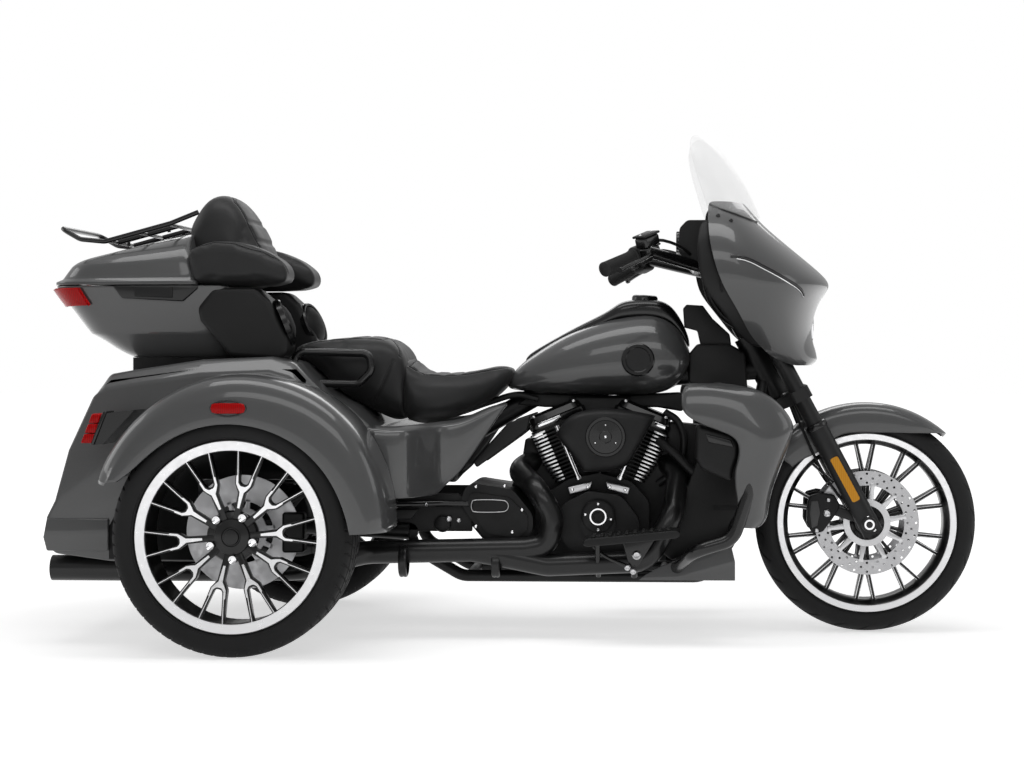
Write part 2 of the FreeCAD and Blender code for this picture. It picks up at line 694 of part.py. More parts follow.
def station_loft(shares, x0, z0, length, height, half_width, low_share, high_share, ruled=False):
    """A body through stations along X: (along, low, high, wide) in shares of its sizes."""
    rings = []
    for along, low, high, wide in shares:
        x = x0 + along * length
        half = wide * half_width
        rings.append(flat_ring(x, half, z0 + low * height, z0 + high * height,
                               low_share * half, high_share * half))
    return Part.makeLoft(rings, True, ruled)


def level_ring(z, x0, x1, half_width, corner_rear, corner_front):
    """A rounded rectangle lying flat at one Z."""
    rear = min(corner_rear, ROUND_LIMIT * half_width)
    front = min(corner_front, ROUND_LIMIT * half_width)
    slant = 1 - math.sqrt(0.5)
    y = half_width
    edges = []

    def line(a, b):
        edges.append(Part.LineSegment(V(*a, z), V(*b, z)).toShape())

    def arc(a, b, c):
        edges.append(Part.Arc(V(*a, z), V(*b, z), V(*c, z)).toShape())

    line((x0 + rear, -y), (x1 - front, -y))
    arc((x1 - front, -y), (x1 - slant * front, -y + slant * front), (x1, -y + front))
    line((x1, -y + front), (x1, y - front))
    arc((x1, y - front), (x1 - slant * front, y - slant * front), (x1 - front, y))
    line((x1 - front, y), (x0 + rear, y))
    arc((x0 + rear, y), (x0 + slant * rear, y - slant * rear), (x0, y - rear))
    line((x0, y - rear), (x0, -y + rear))
    arc((x0, -y + rear), (x0 + slant * rear, -y + slant * rear), (x0 + rear, -y))
    return Part.Wire(edges)


def bow_ring(z, rear, nose, half_width, inset=0.0):
    """A flat bow-shaped ring: open wings at the rear, a rounded nose in front."""
    half = half_width - inset
    tip = nose - inset
    back = rear - inset
    depth = tip - back
    points = [V(back, half, z), V(back + WING_SHARE * depth, WING_WIDE_SHARE * half, z),
              V(back + SHOULDER_SHARE * depth, SHOULDER_WIDE_SHARE * half, z), V(tip, 0, z)]
    points += [V(p.x, -p.y, z) for p in reversed(points[:-1])]
    curve = Part.BSplineCurve()
    curve.interpolate(points)
    return Part.Wire([curve.toShape(), Part.LineSegment(points[-1], points[0]).toShape()])


def bow_form(shares, x0, z0, length, height, half_width, inset):
    """A solid through bow rings, (rear, nose, up, wide) in shares, drawn in by an inset."""
    rings = []
    for rear, nose, up, wide in shares:
        rings.append(bow_ring(z0 + up * height, x0 + rear * length, x0 + nose * length, wide * half_width,
                              inset))
    return Part.makeLoft(rings, True, True)


def mirrored(shape):
    return shape.mirror(V(0, 0, 0), Y_AXIS)


def pair(shape):
    return [shape, mirrored(shape)]


def joined(shapes):
    first, rest = shapes[0], shapes[1:]
    return first.fuse(rest).removeSplitter() if rest else first


def moved(shape, step):
    copy = shape.copy()
    copy.translate(step)
    return copy


def group(shapes):
    solids = []
    for shape in shapes:
        solids += shape.Solids
    return Part.makeCompound(solids) if len(solids) > 1 else solids[0]


def turned(shape, centre, axis, degrees):
    copy = shape.copy()
    copy.rotate(centre, axis, degrees)
    return copy


def around(shape, x, z, count):
    """Copies about a crosswise axis through one point."""
    centre = V(x, 0, z)
    return [turned(shape, centre, Y_AXIS, FULL_CIRCLE * i / count) for i in range(count)]


def spun(profile, x, z):
    """A wheel-like solid from a profile of (radius, y) points."""
    points = [V(x, y, z + r) for r, y in profile]
    face = Part.Face(Part.makePolygon(points + [points[0]]))
    return face.revolve(V(x, 0, z), Y_AXIS, FULL_CIRCLE)


STEER_UP = V(-math.sin(RAKE), 0, math.cos(RAKE))
STEER_FOOT = V(WHEELBASE - FORK_OFFSET * math.cos(RAKE), 0,
               FRONT_TYRE_RADIUS - FORK_OFFSET * math.sin(RAKE))
AXLE_POINT = V(WHEELBASE, 0, FRONT_TYRE_RADIUS)


def on_head(t, y=0.0):
    """A point on the steering axis, t along it from the foot beside the axle."""
    return STEER_FOOT + STEER_UP * t + V(0, y, 0)


def on_leg(t, y=FORK_HALF_SPREAD):
    """A point on a fork leg, t above the axle."""
    return AXLE_POINT + STEER_UP * t + V(0, y, 0)


# Wheels
def tyre(x, y, radius, width, lip, well, rim_width, shares):
    """A closed tyre: its foot between the rim's lips, then flat rows for the sidewall, shoulder and tread."""
    bead = rim_width / 2 - 2 * RIM_WALL - SEAM
    side = [(lip + up * (radius - lip), wide * width / 2) for up, wide in shares]
    half = [(well + RIM_WALL + SEAM, bead), (lip + PLATE / 2, bead)] + side
    profile = [(r, -across + y) for r, across in half] + [(r, across + y) for r, across in reversed(half)]
    return spun(profile, x, radius)


def barrel(x, z, y, lip, well, width):
    """The rim's ring with its two lips and the drop between them."""
    half = width / 2
    profile = [(lip, -half), (lip, -half + RIM_WALL), (well + RIM_WALL, -half + 2 * RIM_WALL),
               (well + RIM_WALL, half - 2 * RIM_WALL), (lip, half - RIM_WALL), (lip, half),
               (well, half - RIM_WALL / 2), (well, -half + RIM_WALL / 2)]
    return spun([(r, side + y) for r, side in profile], x, z)


def front_tyre():
    return tyre(WHEELBASE, 0.0, FRONT_TYRE_RADIUS, FRONT_TYRE_WIDTH, FRONT_RIM_RADIUS, FRONT_BARREL_RADIUS,
                FRONT_RIM_WIDTH, FRONT_TYRE_SHARES)


def front_rim():
    x, z = WHEELBASE, FRONT_TYRE_RADIUS
    ring = barrel(x, z, 0.0, FRONT_RIM_RADIUS, FRONT_BARREL_RADIUS, FRONT_RIM_WIDTH)
    hub = cross_rod(x, z, -FRONT_HUB_WIDTH / 2, FRONT_HUB_WIDTH / 2, FRONT_HUB_RADIUS)
    spokes = []
    for side in (-1, 1):
        tilt = math.radians(side * FRONT_PAIR_HALF_ANGLE)
        rim_end = V(x + math.sin(tilt) * FRONT_BARREL_RADIUS, 0, z + math.cos(tilt) * FRONT_BARREL_RADIUS)
        root = V(x + side * FRONT_SPOKE_WIDTH / 2, 0, z + FRONT_HUB_RADIUS * SPOKE_ROOT_SHARE)
        spokes.append(bar(root, rim_end, FRONT_SPOKE_WIDTH, FRONT_SPOKE_DEPTH, 0.0))
    pattern = []
    for spoke in spokes:
        pattern += around(spoke, x, z, FRONT_SPOKE_PAIRS)
    bore = cross_rod(x, z, -FRONT_HUB_WIDTH, FRONT_HUB_WIDTH, FRONT_AXLE_RADIUS + PIN_GAP)
    return joined([ring, hub] + pattern).cut(bore)


def bar(start, end, width, depth, y):
    """A flat bar between two points of a wheel's plane, centred at one Y."""
    line = end - start
    side = V(line.z, 0, -line.x).normalize() * (width / 2)
    over = V(line).normalize() * (RIM_WALL / 2)
    corners = [start - side, end - side + over, end + side + over, start + side]
    corners = [V(p.x, y - depth / 2, p.z) for p in corners]
    return slab(corners, V(0, depth, 0))


def front_discs():
    x, z = WHEELBASE, FRONT_TYRE_RADIUS
    y0, y1 = DISC_OFFSET - DISC_THICK / 2, DISC_OFFSET + DISC_THICK / 2
    ring = cross_rod(x, z, y0, y1, DISC_RADIUS).cut(cross_rod(x, z, y0 - SEAM, y1 + SEAM, DISC_INNER))
    hat = cross_rod(x, z, FRONT_HUB_WIDTH / 2 + SEAM, y1, FRONT_HUB_RADIUS)
    arm = bar(V(x, 0, z + FRONT_HUB_RADIUS / 2), V(x, 0, z + DISC_INNER), CARRIER_WIDTH, DISC_THICK,
              DISC_OFFSET)
    bore = cross_rod(x, z, 0, y1 + OVERRUN, FRONT_AXLE_RADIUS + PIN_GAP)
    disc = joined([ring, hat] + around(arm, x, z, CARRIER_ARMS)).cut(bore)
    middle = (DISC_RADIUS + DISC_INNER) / 2
    hole = cross_rod(x, z + middle, y0 - SEAM, y1 + SEAM, DISC_HOLE_RADIUS)
    disc = disc.cut(around(hole, x, z, DISC_HOLES))
    return group(pair(disc))


def rear_tyre():
    return tyre(0.0, HALF_TRACK, REAR_TYRE_RADIUS, REAR_TYRE_WIDTH, REAR_RIM_RADIUS, REAR_BARREL_RADIUS,
                REAR_RIM_WIDTH, REAR_TYRE_SHARES)


def rear_rim():
    z = REAR_TYRE_RADIUS
    outer = HALF_TRACK + REAR_RIM_WIDTH / 2
    ring = barrel(0.0, z, HALF_TRACK, REAR_RIM_RADIUS, REAR_BARREL_RADIUS, REAR_RIM_WIDTH)
    face = outer - REAR_HUB_INSET
    hub = cross_rod(0.0, z, face - REAR_HUB_THICK, face, REAR_HUB_RADIUS)
    cap = cross_rod(0.0, z, face, face + LUG_HEIGHT, REAR_CAP_RADIUS)
    parts = around(rear_spoke(face - REAR_SPOKE_DEPTH), 0.0, z, REAR_SPOKES)
    lug = cross_rod(0.0, z + LUG_CIRCLE, face, face + LUG_HEIGHT, LUG_RADIUS)
    parts += around(lug, 0.0, z, LUG_COUNT)
    bore = cross_rod(0.0, z, 0, face - REAR_HUB_THICK / 2, STUB_RADIUS + PIN_GAP)
    return joined([ring, hub, cap] + parts).cut(bore)


def rear_spoke(y):
    """One spoke: a stem that widens and parts into two tines, which end inside the rim's ring."""
    right = [V(side * REAR_BARREL_RADIUS, y, REAR_TYRE_RADIUS + up * REAR_BARREL_RADIUS)
             for up, side in REAR_SPOKE_SHARES]
    left = [V(-p.x, y, p.z) for p in reversed(right)]
    return slab(right + left, V(0, REAR_SPOKE_DEPTH, 0))


def rear_disc():
    z = REAR_TYRE_RADIUS
    y0, y1 = REAR_DISC_Y - REAR_DISC_THICK / 2, REAR_DISC_Y + REAR_DISC_THICK / 2
    hub_in = HALF_TRACK + REAR_RIM_WIDTH / 2 - REAR_HUB_INSET - REAR_HUB_THICK
    disc = cross_rod(0.0, z, y0, y1, REAR_DISC_RADIUS)
    hat = cross_rod(0.0, z, y1, hub_in - SEAM, REAR_HUB_RADIUS)
    bore = cross_rod(0.0, z, y0 - OVERRUN, hub_in + OVERRUN, STUB_RADIUS + PIN_GAP)
    return joined([disc, hat]).cut(bore)


# Frame
@lru_cache
def cradle_rail(radius):
    """One rail: down from the steering head, back under the engine and up to the backbone."""
    spots = place(FRAME_CRADLE_SHARES, FRAME_REAR_X, FRAME_LOW_Z, FRAME_LENGTH, FRAME_HEIGHT,
                  RAIL_HALF_SPREAD)
    spots[0].y = HEAD_RADIUS / 2
    spots[-1].y = BACKBONE_RADIUS / 2
    return tube(spots, RAIL_BEND, radius)


@lru_cache
def frame_tubes():
    neck = rod(on_head(HEAD_LOW), on_head(HEAD_HIGH), HEAD_RADIUS)
    bore = rod(on_head(HEAD_LOW - OVERRUN), on_head(HEAD_HIGH + OVERRUN), STEM_RADIUS + PIN_GAP)
    spine = tube(place(FRAME_BACKBONE_SHARES, FRAME_REAR_X, FRAME_LOW_Z, FRAME_LENGTH, FRAME_HEIGHT),
                 RAIL_BEND, BACKBONE_RADIUS)
    rail = cradle_rail(RAIL_RADIUS)
    ends = []
    for share in FRAME_CROSS_SHARES:
        x = FRAME_REAR_X + share * FRAME_LENGTH
        ends.append(cross_rod(x, RAIL_Z, -RAIL_HALF_SPREAD, RAIL_HALF_SPREAD, CROSS_RADIUS))
    for share in ENGINE_MOUNT_SHARES:
        x = CASE_REAR_X + share * CASE_LENGTH
        ends.append(cross_rod(x, RAIL_Z, -RAIL_HALF_SPREAD, RAIL_HALF_SPREAD, CROSS_RADIUS))
    shelf_z = BODY_LOW_Z + BODY_STEP_SHARE * BODY_HEIGHT - SEAM - CROSS_RADIUS
    for side in (-1, 1):
        y = side * RAIL_HALF_SPREAD
        ends.append(rod(V(SHELF_REAR_X, y, shelf_z), V(FRAME_REAR_X, y, shelf_z), CROSS_RADIUS))
        ends.append(rod(V(FRAME_REAR_X, y, COVER_PEG_Z), V(FRAME_REAR_X, side * (SIDE_COVER_Y - SEAM),
                                                           COVER_PEG_Z),
                        PEG_RADIUS))
    peg = TUNNEL_HALF_WIDTH - SEAM
    ends.append(cross_rod(TANK_PEG_X, TANK_PEG_Z, -peg, peg, PEG_RADIUS))
    return joined([neck, spine] + pair(rail) + ends).cut(bore)


def rear_axle():
    """Axle tube with its drive housing, stubs, swingarm, shocks and brake calipers."""
    z = REAR_TYRE_RADIUS
    hub_in = HALF_TRACK + REAR_RIM_WIDTH / 2 - REAR_HUB_INSET - REAR_HUB_THICK / 2
    end = REAR_DISC_Y - REAR_DISC_THICK / 2 - RUNNING_GAP
    beam = cross_rod(0.0, z, -end, end, AXLE_TUBE_RADIUS)
    stub = cross_rod(0.0, z, -hub_in + SEAM, hub_in - SEAM, STUB_RADIUS)
    drive = cross_rod(0.0, z, -DRIVE_WIDTH / 2, DRIVE_WIDTH / 2, DRIVE_RADIUS)
    drive = drive.makeFillet(DRIVE_ROUND, drive.Edges)
    pivot_x, pivot_z = SWINGARM_PIVOT
    pieces = [beam, stub, drive]
    for side in (-1, 1):
        pieces.append(cross_rod(pivot_x, pivot_z, side * (RAIL_HALF_SPREAD + RAIL_RADIUS + SEAM),
                                side * SWINGARM_HALF_SPREAD, SWINGARM_RADIUS))
        pieces.append(rod(V(0, side * SWINGARM_HALF_SPREAD, z),
                          V(pivot_x, side * SWINGARM_HALF_SPREAD, pivot_z), SWINGARM_RADIUS))
        foot = V(SHOCK_FOOT[0], side * SHOCK_Y, z)
        low = V(SHOCK_FOOT[0], side * SHOCK_Y, SHOCK_FOOT[1])
        top = V(SHOCK_HEAD[0], side * SHOCK_Y, SHOCK_HEAD[1])
        pieces.append(rod(foot, top, SHOCK_ROD_RADIUS))
        pieces.append(rod(low, foot + (top - foot) * SHOCK_BODY_SHARE, SHOCK_RADIUS))
    pieces += pair(rear_caliper())
    return joined(pieces)


def caliper(x, z, y, radius, thick, end):
    """A caliper over one disc's edge on the side of an end, with a bracket inside the disc."""
    edge = radius + CALIPER_HEIGHT / 4
    x0, x1 = sorted((x + end * edge, x + end * (edge - CALIPER_HEIGHT)))
    body = block(x0, x1, y - CALIPER_WIDTH / 2, y + CALIPER_WIDTH / 2, z - CALIPER_LENGTH / 2,
                 z + CALIPER_LENGTH / 2)
    body = body.makeFillet(CALIPER_ROUND, body.Edges)
    slot = cross_rod(x, z, y - thick / 2 - PAD_GAP, y + thick / 2 + PAD_GAP, radius + RUNNING_GAP)
    return body.cut(slot)


def rear_caliper():
    """A rear caliper in front of the axle, on a bracket from the axle tube."""
    z = REAR_TYRE_RADIUS
    body = caliper(0.0, z, REAR_DISC_Y, REAR_DISC_RADIUS, REAR_DISC_THICK, 1)
    inner = REAR_DISC_Y - CALIPER_WIDTH / 2
    outer = REAR_DISC_Y - REAR_DISC_THICK / 2 - PAD_GAP
    bracket = block(0.0, REAR_DISC_RADIUS, inner, outer, z - CALIPER_HEIGHT / 2, z + CALIPER_HEIGHT / 2)
    return joined([body, bracket])


# Engine
@lru_cache
def crankcase():
    core = side_slab(CASE_SHARES, CASE_REAR_X, CASE_LOW_Z, CASE_LENGTH, CASE_HEIGHT,
                     -CASE_HALF_WIDTH, CASE_HALF_WIDTH, CASE_ROUND)
    return core


def cylinder_axis(side):
    """Unit vector up one cylinder: side is -1 for the rear one, 1 for the front one."""
    tilt = math.radians(side * V_HALF_ANGLE)
    return V(math.sin(tilt), 0, math.cos(tilt))


def upright_plate(low, high, length, width, corner):
    """A rounded plate about the crank's vertical line, before it is tilted to its cylinder."""
    ring = [V(CRANK_X - length / 2, -width / 2, CRANK_Z + low), V(CRANK_X + length / 2, -width / 2,
                                                                  CRANK_Z + low),
            V(CRANK_X + length / 2, width / 2, CRANK_Z + low), V(CRANK_X - length / 2, width / 2,
                                                                 CRANK_Z + low)]
    return slab(ring, V(0, 0, high - low), corner)


def tilted(shape, side):
    return turned(shape, V(CRANK_X, 0, CRANK_Z), Y_AXIS, side * V_HALF_ANGLE)


def port_out(side):
    """Unit vector square to a cylinder, away from the other one."""
    tilt = math.radians(V_HALF_ANGLE)
    return V(side * math.cos(tilt), 0, -math.sin(tilt))


def port_point(side, reach):
    """A point on the exhaust port's centre line, at a reach from the cylinder's axis."""
    return V(CRANK_X, -PORT_Y, CRANK_Z) + cylinder_axis(side) * PORT_RISE + port_out(side) * reach


def cylinder(side):
    """One finned cylinder and head. Its fins grow a little towards the head."""
    barrel_low = CYLINDER_FOOT
    core = Part.makeCylinder(BARREL_RADIUS, HEAD_TOP - barrel_low, V(CRANK_X, 0, CRANK_Z + barrel_low),
                             Z_AXIS)
    plates = [core]
    pitch = (HEAD_TOP - FIN_START) / FIN_COUNT
    for i in range(FIN_COUNT):
        low = FIN_START + i * pitch
        grow = FIN_GROW_SHARE + (1 - FIN_GROW_SHARE) * min(1.0, i / (FIN_COUNT * FIN_FULL_SHARE))
        plates.append(upright_plate(low, low + FIN_THICK, FIN_LENGTH * grow, FIN_WIDTH * grow, FIN_CORNER))
    top = upright_plate(HEAD_TOP - pitch / 2, HEAD_TOP - SEAM, FIN_LENGTH * ROCKER_SEAT_SHARE,
                        FIN_WIDTH * ROCKER_SEAT_SHARE, FIN_CORNER)
    whole = tilted(joined(plates + [top]), side)
    port = rod(port_point(side, BARREL_RADIUS / 2), port_point(side, FIN_LENGTH / 2 + PORT_LENGTH),
               PORT_RADIUS)
    return whole.fuse(port)


@lru_cache
def cylinders():
    """Both cylinders, parted at the middle of the V and set on the crankcase."""
    case = crankcase()
    far = OVERRUN + CRANK_X
    halves = []
    for side in (-1, 1):
        edge = CRANK_X + side * MID_PLANE_GAP
        keep = block(min(edge, edge + side * far), max(edge, edge + side * far), -far, far, CRANK_Z,
                     CRANK_Z + far)
        halves.append(cylinder(side).common(keep).cut(case))
    return group(halves)


def rocker_covers():
    """A stepped cover on each head, its upper step smaller and rounded."""
    covers = []
    step = HEAD_TOP + ROCKER_HEIGHT * ROCKER_STEP_SHARE
    length, width = FIN_LENGTH * ROCKER_SEAT_SHARE, FIN_WIDTH * ROCKER_SEAT_SHARE
    for side in (-1, 1):
        base = upright_plate(HEAD_TOP + SEAM, step, length, width, FIN_CORNER)
        cap = upright_plate(step - PLATE, HEAD_TOP + ROCKER_HEIGHT, length * ROCKER_CAP_SHARE,
                            width * ROCKER_CAP_SHARE, FIN_CORNER)
        tops = [e for e in cap.Edges if e.BoundBox.ZMin > CRANK_Z + HEAD_TOP + ROCKER_HEIGHT - SEAM]
        covers.append(tilted(joined([base, cap.makeFillet(ROCKER_CORNER, tops)]), side))
    return group(covers)


def pushrod_tubes():
    """Four pushrod tubes beside the cylinders' right sides, on two tappet blocks."""
    tubes = []
    low = CRANK_Z + CAM_HEIGHT / 2 + SEAM
    top = low + TAPPET_HEIGHT
    for side in (-1, 1):
        for step in PUSHROD_STEP_SHARES:
            foot = V(CRANK_X + side * FIN_LENGTH * TAPPET_SHARE + step * FIN_LENGTH, -PUSHROD_Y, top)
            up = cylinder_axis(side) * PUSHROD_LENGTH
            tubes.append(rod(foot, foot + up + V(0, PUSHROD_LEAN, 0), PUSHROD_RADIUS))
        x = CRANK_X + side * FIN_LENGTH * TAPPET_SHARE
        tubes.append(block(x - TAPPET_LENGTH / 2, x + TAPPET_LENGTH / 2, -PUSHROD_Y - TAPPET_DEPTH / 2,
                           -CASE_HALF_WIDTH - SEAM, low, top))
    return group([joined(tubes[:3]), joined(tubes[3:])])


def air_cleaner():
    """The air cleaner's box, drawn in towards its outer face, with a plain disc on it."""
    middle = V(CLEANER_REAR_X + CLEANER_LENGTH / 2, 0, CLEANER_LOW_Z + CLEANER_HEIGHT / 2)
    rings = []
    for depth, size in CLEANER_TAPER_SHARES:
        y = -CLEANER_IN_Y - depth * (CLEANER_OUT_Y - CLEANER_IN_Y)
        spots = place(CLEANER_SHARES, CLEANER_REAR_X, CLEANER_LOW_Z, CLEANER_LENGTH, CLEANER_HEIGHT)
        spots = [middle + (p - middle) * size + V(0, y, 0) for p in spots]
        rings.append(Part.Wire(soft_edges(spots, CLEANER_ROUND * size, True)))
    body = Part.makeLoft(rings, True, True)
    x = CLEANER_REAR_X + CLEANER_LENGTH * CLEANER_DISC_SHARES[0]
    z = CLEANER_LOW_Z + CLEANER_HEIGHT * CLEANER_DISC_SHARES[1]
    disc = cross_rod(x, z, -CLEANER_OUT_Y - BADGE_THICK, -CLEANER_OUT_Y, CLEANER_DISC_RADIUS)
    throat = cross_rod(x, z, -CLEANER_IN_Y, -FIN_WIDTH / 2 - SEAM, INTAKE_RADIUS)
    return joined([body, disc, throat])


def engine_covers():
    """The cam cover on the right and the long primary cover on the left."""
    cam_x = CRANK_X - CAM_LENGTH / 2
    cam_z = CRANK_Z - CAM_HEIGHT / 2
    cam = side_slab(CAM_SHARES, cam_x, cam_z, CAM_LENGTH, CAM_HEIGHT, -CASE_HALF_WIDTH - CAM_THICK,
                    -CASE_HALF_WIDTH - SEAM, CASE_ROUND)
    disc = cross_rod(CRANK_X, CRANK_Z, -COVER_Y, -CASE_HALF_WIDTH - CAM_THICK, CAM_RADIUS)
    primary = side_slab(PRIMARY_SHARES, PRIMARY_REAR_X, PRIMARY_LOW_Z, PRIMARY_LENGTH, PRIMARY_HEIGHT,
                        CASE_HALF_WIDTH + SEAM, CASE_HALF_WIDTH + PRIMARY_THICK, CASE_ROUND)
    face = CASE_HALF_WIDTH + PRIMARY_THICK
    plate = cross_rod(COVER_DISC_X, COVER_DISC_Z, face, face + COVER_DISC_THICK, COVER_DISC_RADIUS)
    return group([joined([cam, disc]), joined([primary, plate])])


def transmission_case():
    core = side_slab(GEARBOX_SHARES, GEARBOX_REAR_X, GEARBOX_LOW_Z, GEARBOX_LENGTH, GEARBOX_HEIGHT,
                     -COVER_Y, CASE_HALF_WIDTH, CASE_ROUND)
    plate = side_slab(GEARBOX_PLATE_SHARES, GEARBOX_REAR_X, GEARBOX_LOW_Z, GEARBOX_LENGTH, GEARBOX_HEIGHT,
                      -COVER_Y - COVER_DISC_THICK, -COVER_Y, CASE_ROUND / 2)
    return joined([core, plate])


# Exhaust
def header(side, shares, y_shares, tail, radius):
    """A header from one cylinder's port down the right side, and on through its tail's points."""
    points = place(shares, HEADER_X, HEADER_Z, HEADER_LENGTH, HEADER_HEIGHT)
    for point, share in zip(points, y_shares):
        point.y = -PIPE_Y * share
    return tube([port_point(side, FIN_LENGTH / 2 + PORT_LENGTH)] + points + tail, PIPE_BEND, radius)


def to_muffler(side):
    """The last bends of a pipe, out to its muffler."""
    start = MUFFLER_END_X + MUFFLER_LENGTH
    return [V(start + PIPE_BEND, side * MUFFLER_Y, MUFFLER_Z), V(start - PIPE_RADIUS, side * MUFFLER_Y,
                                                                 MUFFLER_Z)]


def exhaust():
    """Two headers that meet under the right side, and a crossover to the left muffler."""
    rear = header(-1, REAR_HEADER_SHARES, REAR_HEADER_Y_SHARES, to_muffler(-1), PIPE_RADIUS)
    front = header(1, FRONT_HEADER_SHARES, FRONT_HEADER_Y_SHARES, [], PIPE_RADIUS - MUFFLER_WALL / 2)
    last = place(REAR_HEADER_SHARES[-1:], HEADER_X, HEADER_Z, HEADER_LENGTH, HEADER_HEIGHT, -PIPE_Y)[0]
    cross = tube([last, last + V(-PIPE_BEND, PIPE_BEND, 0)] + to_muffler(1), PIPE_BEND,
                 PIPE_RADIUS - MUFFLER_WALL)
    runs = [rear, front, cross]
    for side in (-1, 1):
        centre = V(MUFFLER_END_X, side * MUFFLER_Y, MUFFLER_Z)
        can = rod(centre, centre + V(MUFFLER_LENGTH, 0, 0), MUFFLER_RADIUS)
        hollow = rod(centre - V(OVERRUN, 0, 0), centre + V(MUFFLER_DEPTH, 0, 0),
                     MUFFLER_RADIUS - MUFFLER_WALL)
        runs.append(can.cut(hollow))
    return joined(runs).cut(cylinders())


# Tank, console, seat
@lru_cache
def tank_body():
    return station_loft(TANK_SHARES, TANK_REAR_X, TANK_LOW_Z, TANK_LENGTH, TANK_HEIGHT, TANK_HALF_WIDTH,
                        TANK_LOW_ROUND_SHARE, TANK_HIGH_ROUND_SHARE)


def fuel_tank():
    tunnel = block(TANK_REAR_X - OVERRUN, TANK_REAR_X + TANK_LENGTH + OVERRUN, -TUNNEL_HALF_WIDTH,
                   TUNNEL_HALF_WIDTH,
                   TANK_LOW_Z - OVERRUN, TANK_LOW_Z + TUNNEL_HEIGHT)
    return tank_body().cut(tunnel)


def tank_console():
    """The console on the tank's top and a plain round badge on each side."""
    console = station_loft(CONSOLE_SHARES, CONSOLE_REAR_X, CONSOLE_LOW_Z, CONSOLE_LENGTH, CONSOLE_HEIGHT,
                           CONSOLE_HALF_WIDTH, TANK_LOW_ROUND_SHARE, CONSOLE_ROUND_SHARE).cut(tank_body())
    badge = cross_rod(BADGE_X, BADGE_Z, TANK_HALF_WIDTH - PLATE, TANK_HALF_WIDTH + BADGE_THICK,
                      BADGE_RADIUS)
    return group([console] + pair(badge.cut(tank_body())))


def seat():
    cushion = station_loft(SEAT_SHARES, SEAT_REAR_X, SEAT_LOW_Z, SEAT_LENGTH, SEAT_HEIGHT, SEAT_HALF_WIDTH,
                           SEAT_LOW_SHARE, SEAT_HIGH_SHARE, True)
    return cushion.cut(moved(body_block(), V(SEAM, 0, SEAM))).cut(moved(tank_body(), V(-SEAM, 0, 0)))


def grab_loops():
    loop = tube(place(LOOP_SHARES, SEAT_REAR_X, SEAT_LOW_Z, SEAT_LENGTH, SEAT_HEIGHT, LOOP_Y), LOOP_BEND,
                LOOP_RADIUS)
    return group(pair(loop.cut(body_block())))


def side_covers():
    cover = side_slab(SIDE_COVER_SHARES, SIDE_COVER_REAR_X, SIDE_COVER_LOW_Z, SIDE_COVER_LENGTH,
                      SIDE_COVER_HEIGHT,
                      SIDE_COVER_Y, SIDE_COVER_Y + SIDE_COVER_THICK, SIDE_COVER_ROUND)
    body = body_block()
    cover = cover.cut([moved(body, V(SEAM, 0, SEAM)), moved(body, V(SEAM, 0, -SEAM))])
    return group(pair(cover))


# Rear body
@lru_cache
def body_block():
    """The body's outer form: its side outline and its outline from behind, crossed."""
    side = side_slab(BODY_SIDE_SHARES, BODY_REAR_X, BODY_LOW_Z, BODY_LENGTH, BODY_HEIGHT,
                     -BODY_HALF_WIDTH, BODY_HALF_WIDTH, BODY_CORNER)
    back = [V(BODY_REAR_X - OVERRUN, across * BODY_HALF_WIDTH, BODY_LOW_Z + up * BODY_HEIGHT)
            for across, up in BODY_BACK_SHARES]
    return side.common(slab(back, V(BODY_LENGTH + 2 * OVERRUN, 0, 0), BODY_CORNER))


@lru_cache
def trunk_space():
    return side_slab(TRUNK_SHARES, TRUNK_REAR_X, TRUNK_LOW_Z, TRUNK_LENGTH, TRUNK_HEIGHT,
                     -TRUNK_HALF_WIDTH, TRUNK_HALF_WIDTH, BODY_CORNER)


def door_cut(gap):
    """The door's outline seen from behind, as a cutter through the rear wall only."""
    half = DOOR_HALF_WIDTH + gap
    low, high = DOOR_LOW_Z - gap, DOOR_HIGH_Z + gap
    x = BODY_REAR_X - OVERRUN
    corners = [V(x, -half, low), V(x, half, low), V(x, half, high), V(x, -half, high)]
    return slab(corners, V(DOOR_DEPTH, 0, 0), DOOR_CORNER)


def rear_body():
    """The hollow body, with its door's opening and a groove under it for each muffler."""
    grooves = []
    for side in (-1, 1):
        grooves.append(rod(V(BODY_REAR_X - OVERRUN, side * MUFFLER_Y, MUFFLER_Z),
                           V(BODY_REAR_X + BODY_LENGTH / 2, side * MUFFLER_Y,
                             MUFFLER_Z), MUFFLER_RADIUS + RUNNING_GAP))
    swing = []
    for side in (-1, 1):
        y0, y1 = sorted(side * (DOOR_HINGE_Y + i * KNUCKLE_LENGTH + i * SEAM) for i in (0, 1))
        swing.append(hinge_rod(y0 - DOOR_GAP, y1 + DOOR_GAP, KNUCKLE_RADIUS + DOOR_GAP))
    shell = body_block().cut(trunk_space()).cut(door_cut(DOOR_GAP)).cut(grooves + swing)
    return joined([shell] + door_knuckles())


def hinge_rod(y0, y1, radius):
    return cross_rod(DOOR_HINGE_X, DOOR_HINGE_Z, y0, y1, radius)


def door_knuckles():
    """The body's halves of the door's two hinges, with their pins, outboard of the door's halves."""
    pieces = []
    for side in (-1, 1):
        y0, y1, y2 = (side * (DOOR_HINGE_Y + i * KNUCKLE_LENGTH) for i in (0, 1, 2))
        pieces.append(hinge_rod(y1 + side * SEAM, y2, KNUCKLE_RADIUS))
        pieces.append(hinge_rod(y0, y2, KNUCKLE_PIN_RADIUS))
        low, high = sorted((y1 + side * SEAM, y2))
        pieces.append(block(DOOR_HINGE_X - KNUCKLE_RADIUS, DOOR_HINGE_X + 2 * KNUCKLE_RADIUS, low, high,
                            DOOR_HINGE_Z - 2 * KNUCKLE_RADIUS, DOOR_HINGE_Z).cut(trunk_space()))
    return pieces


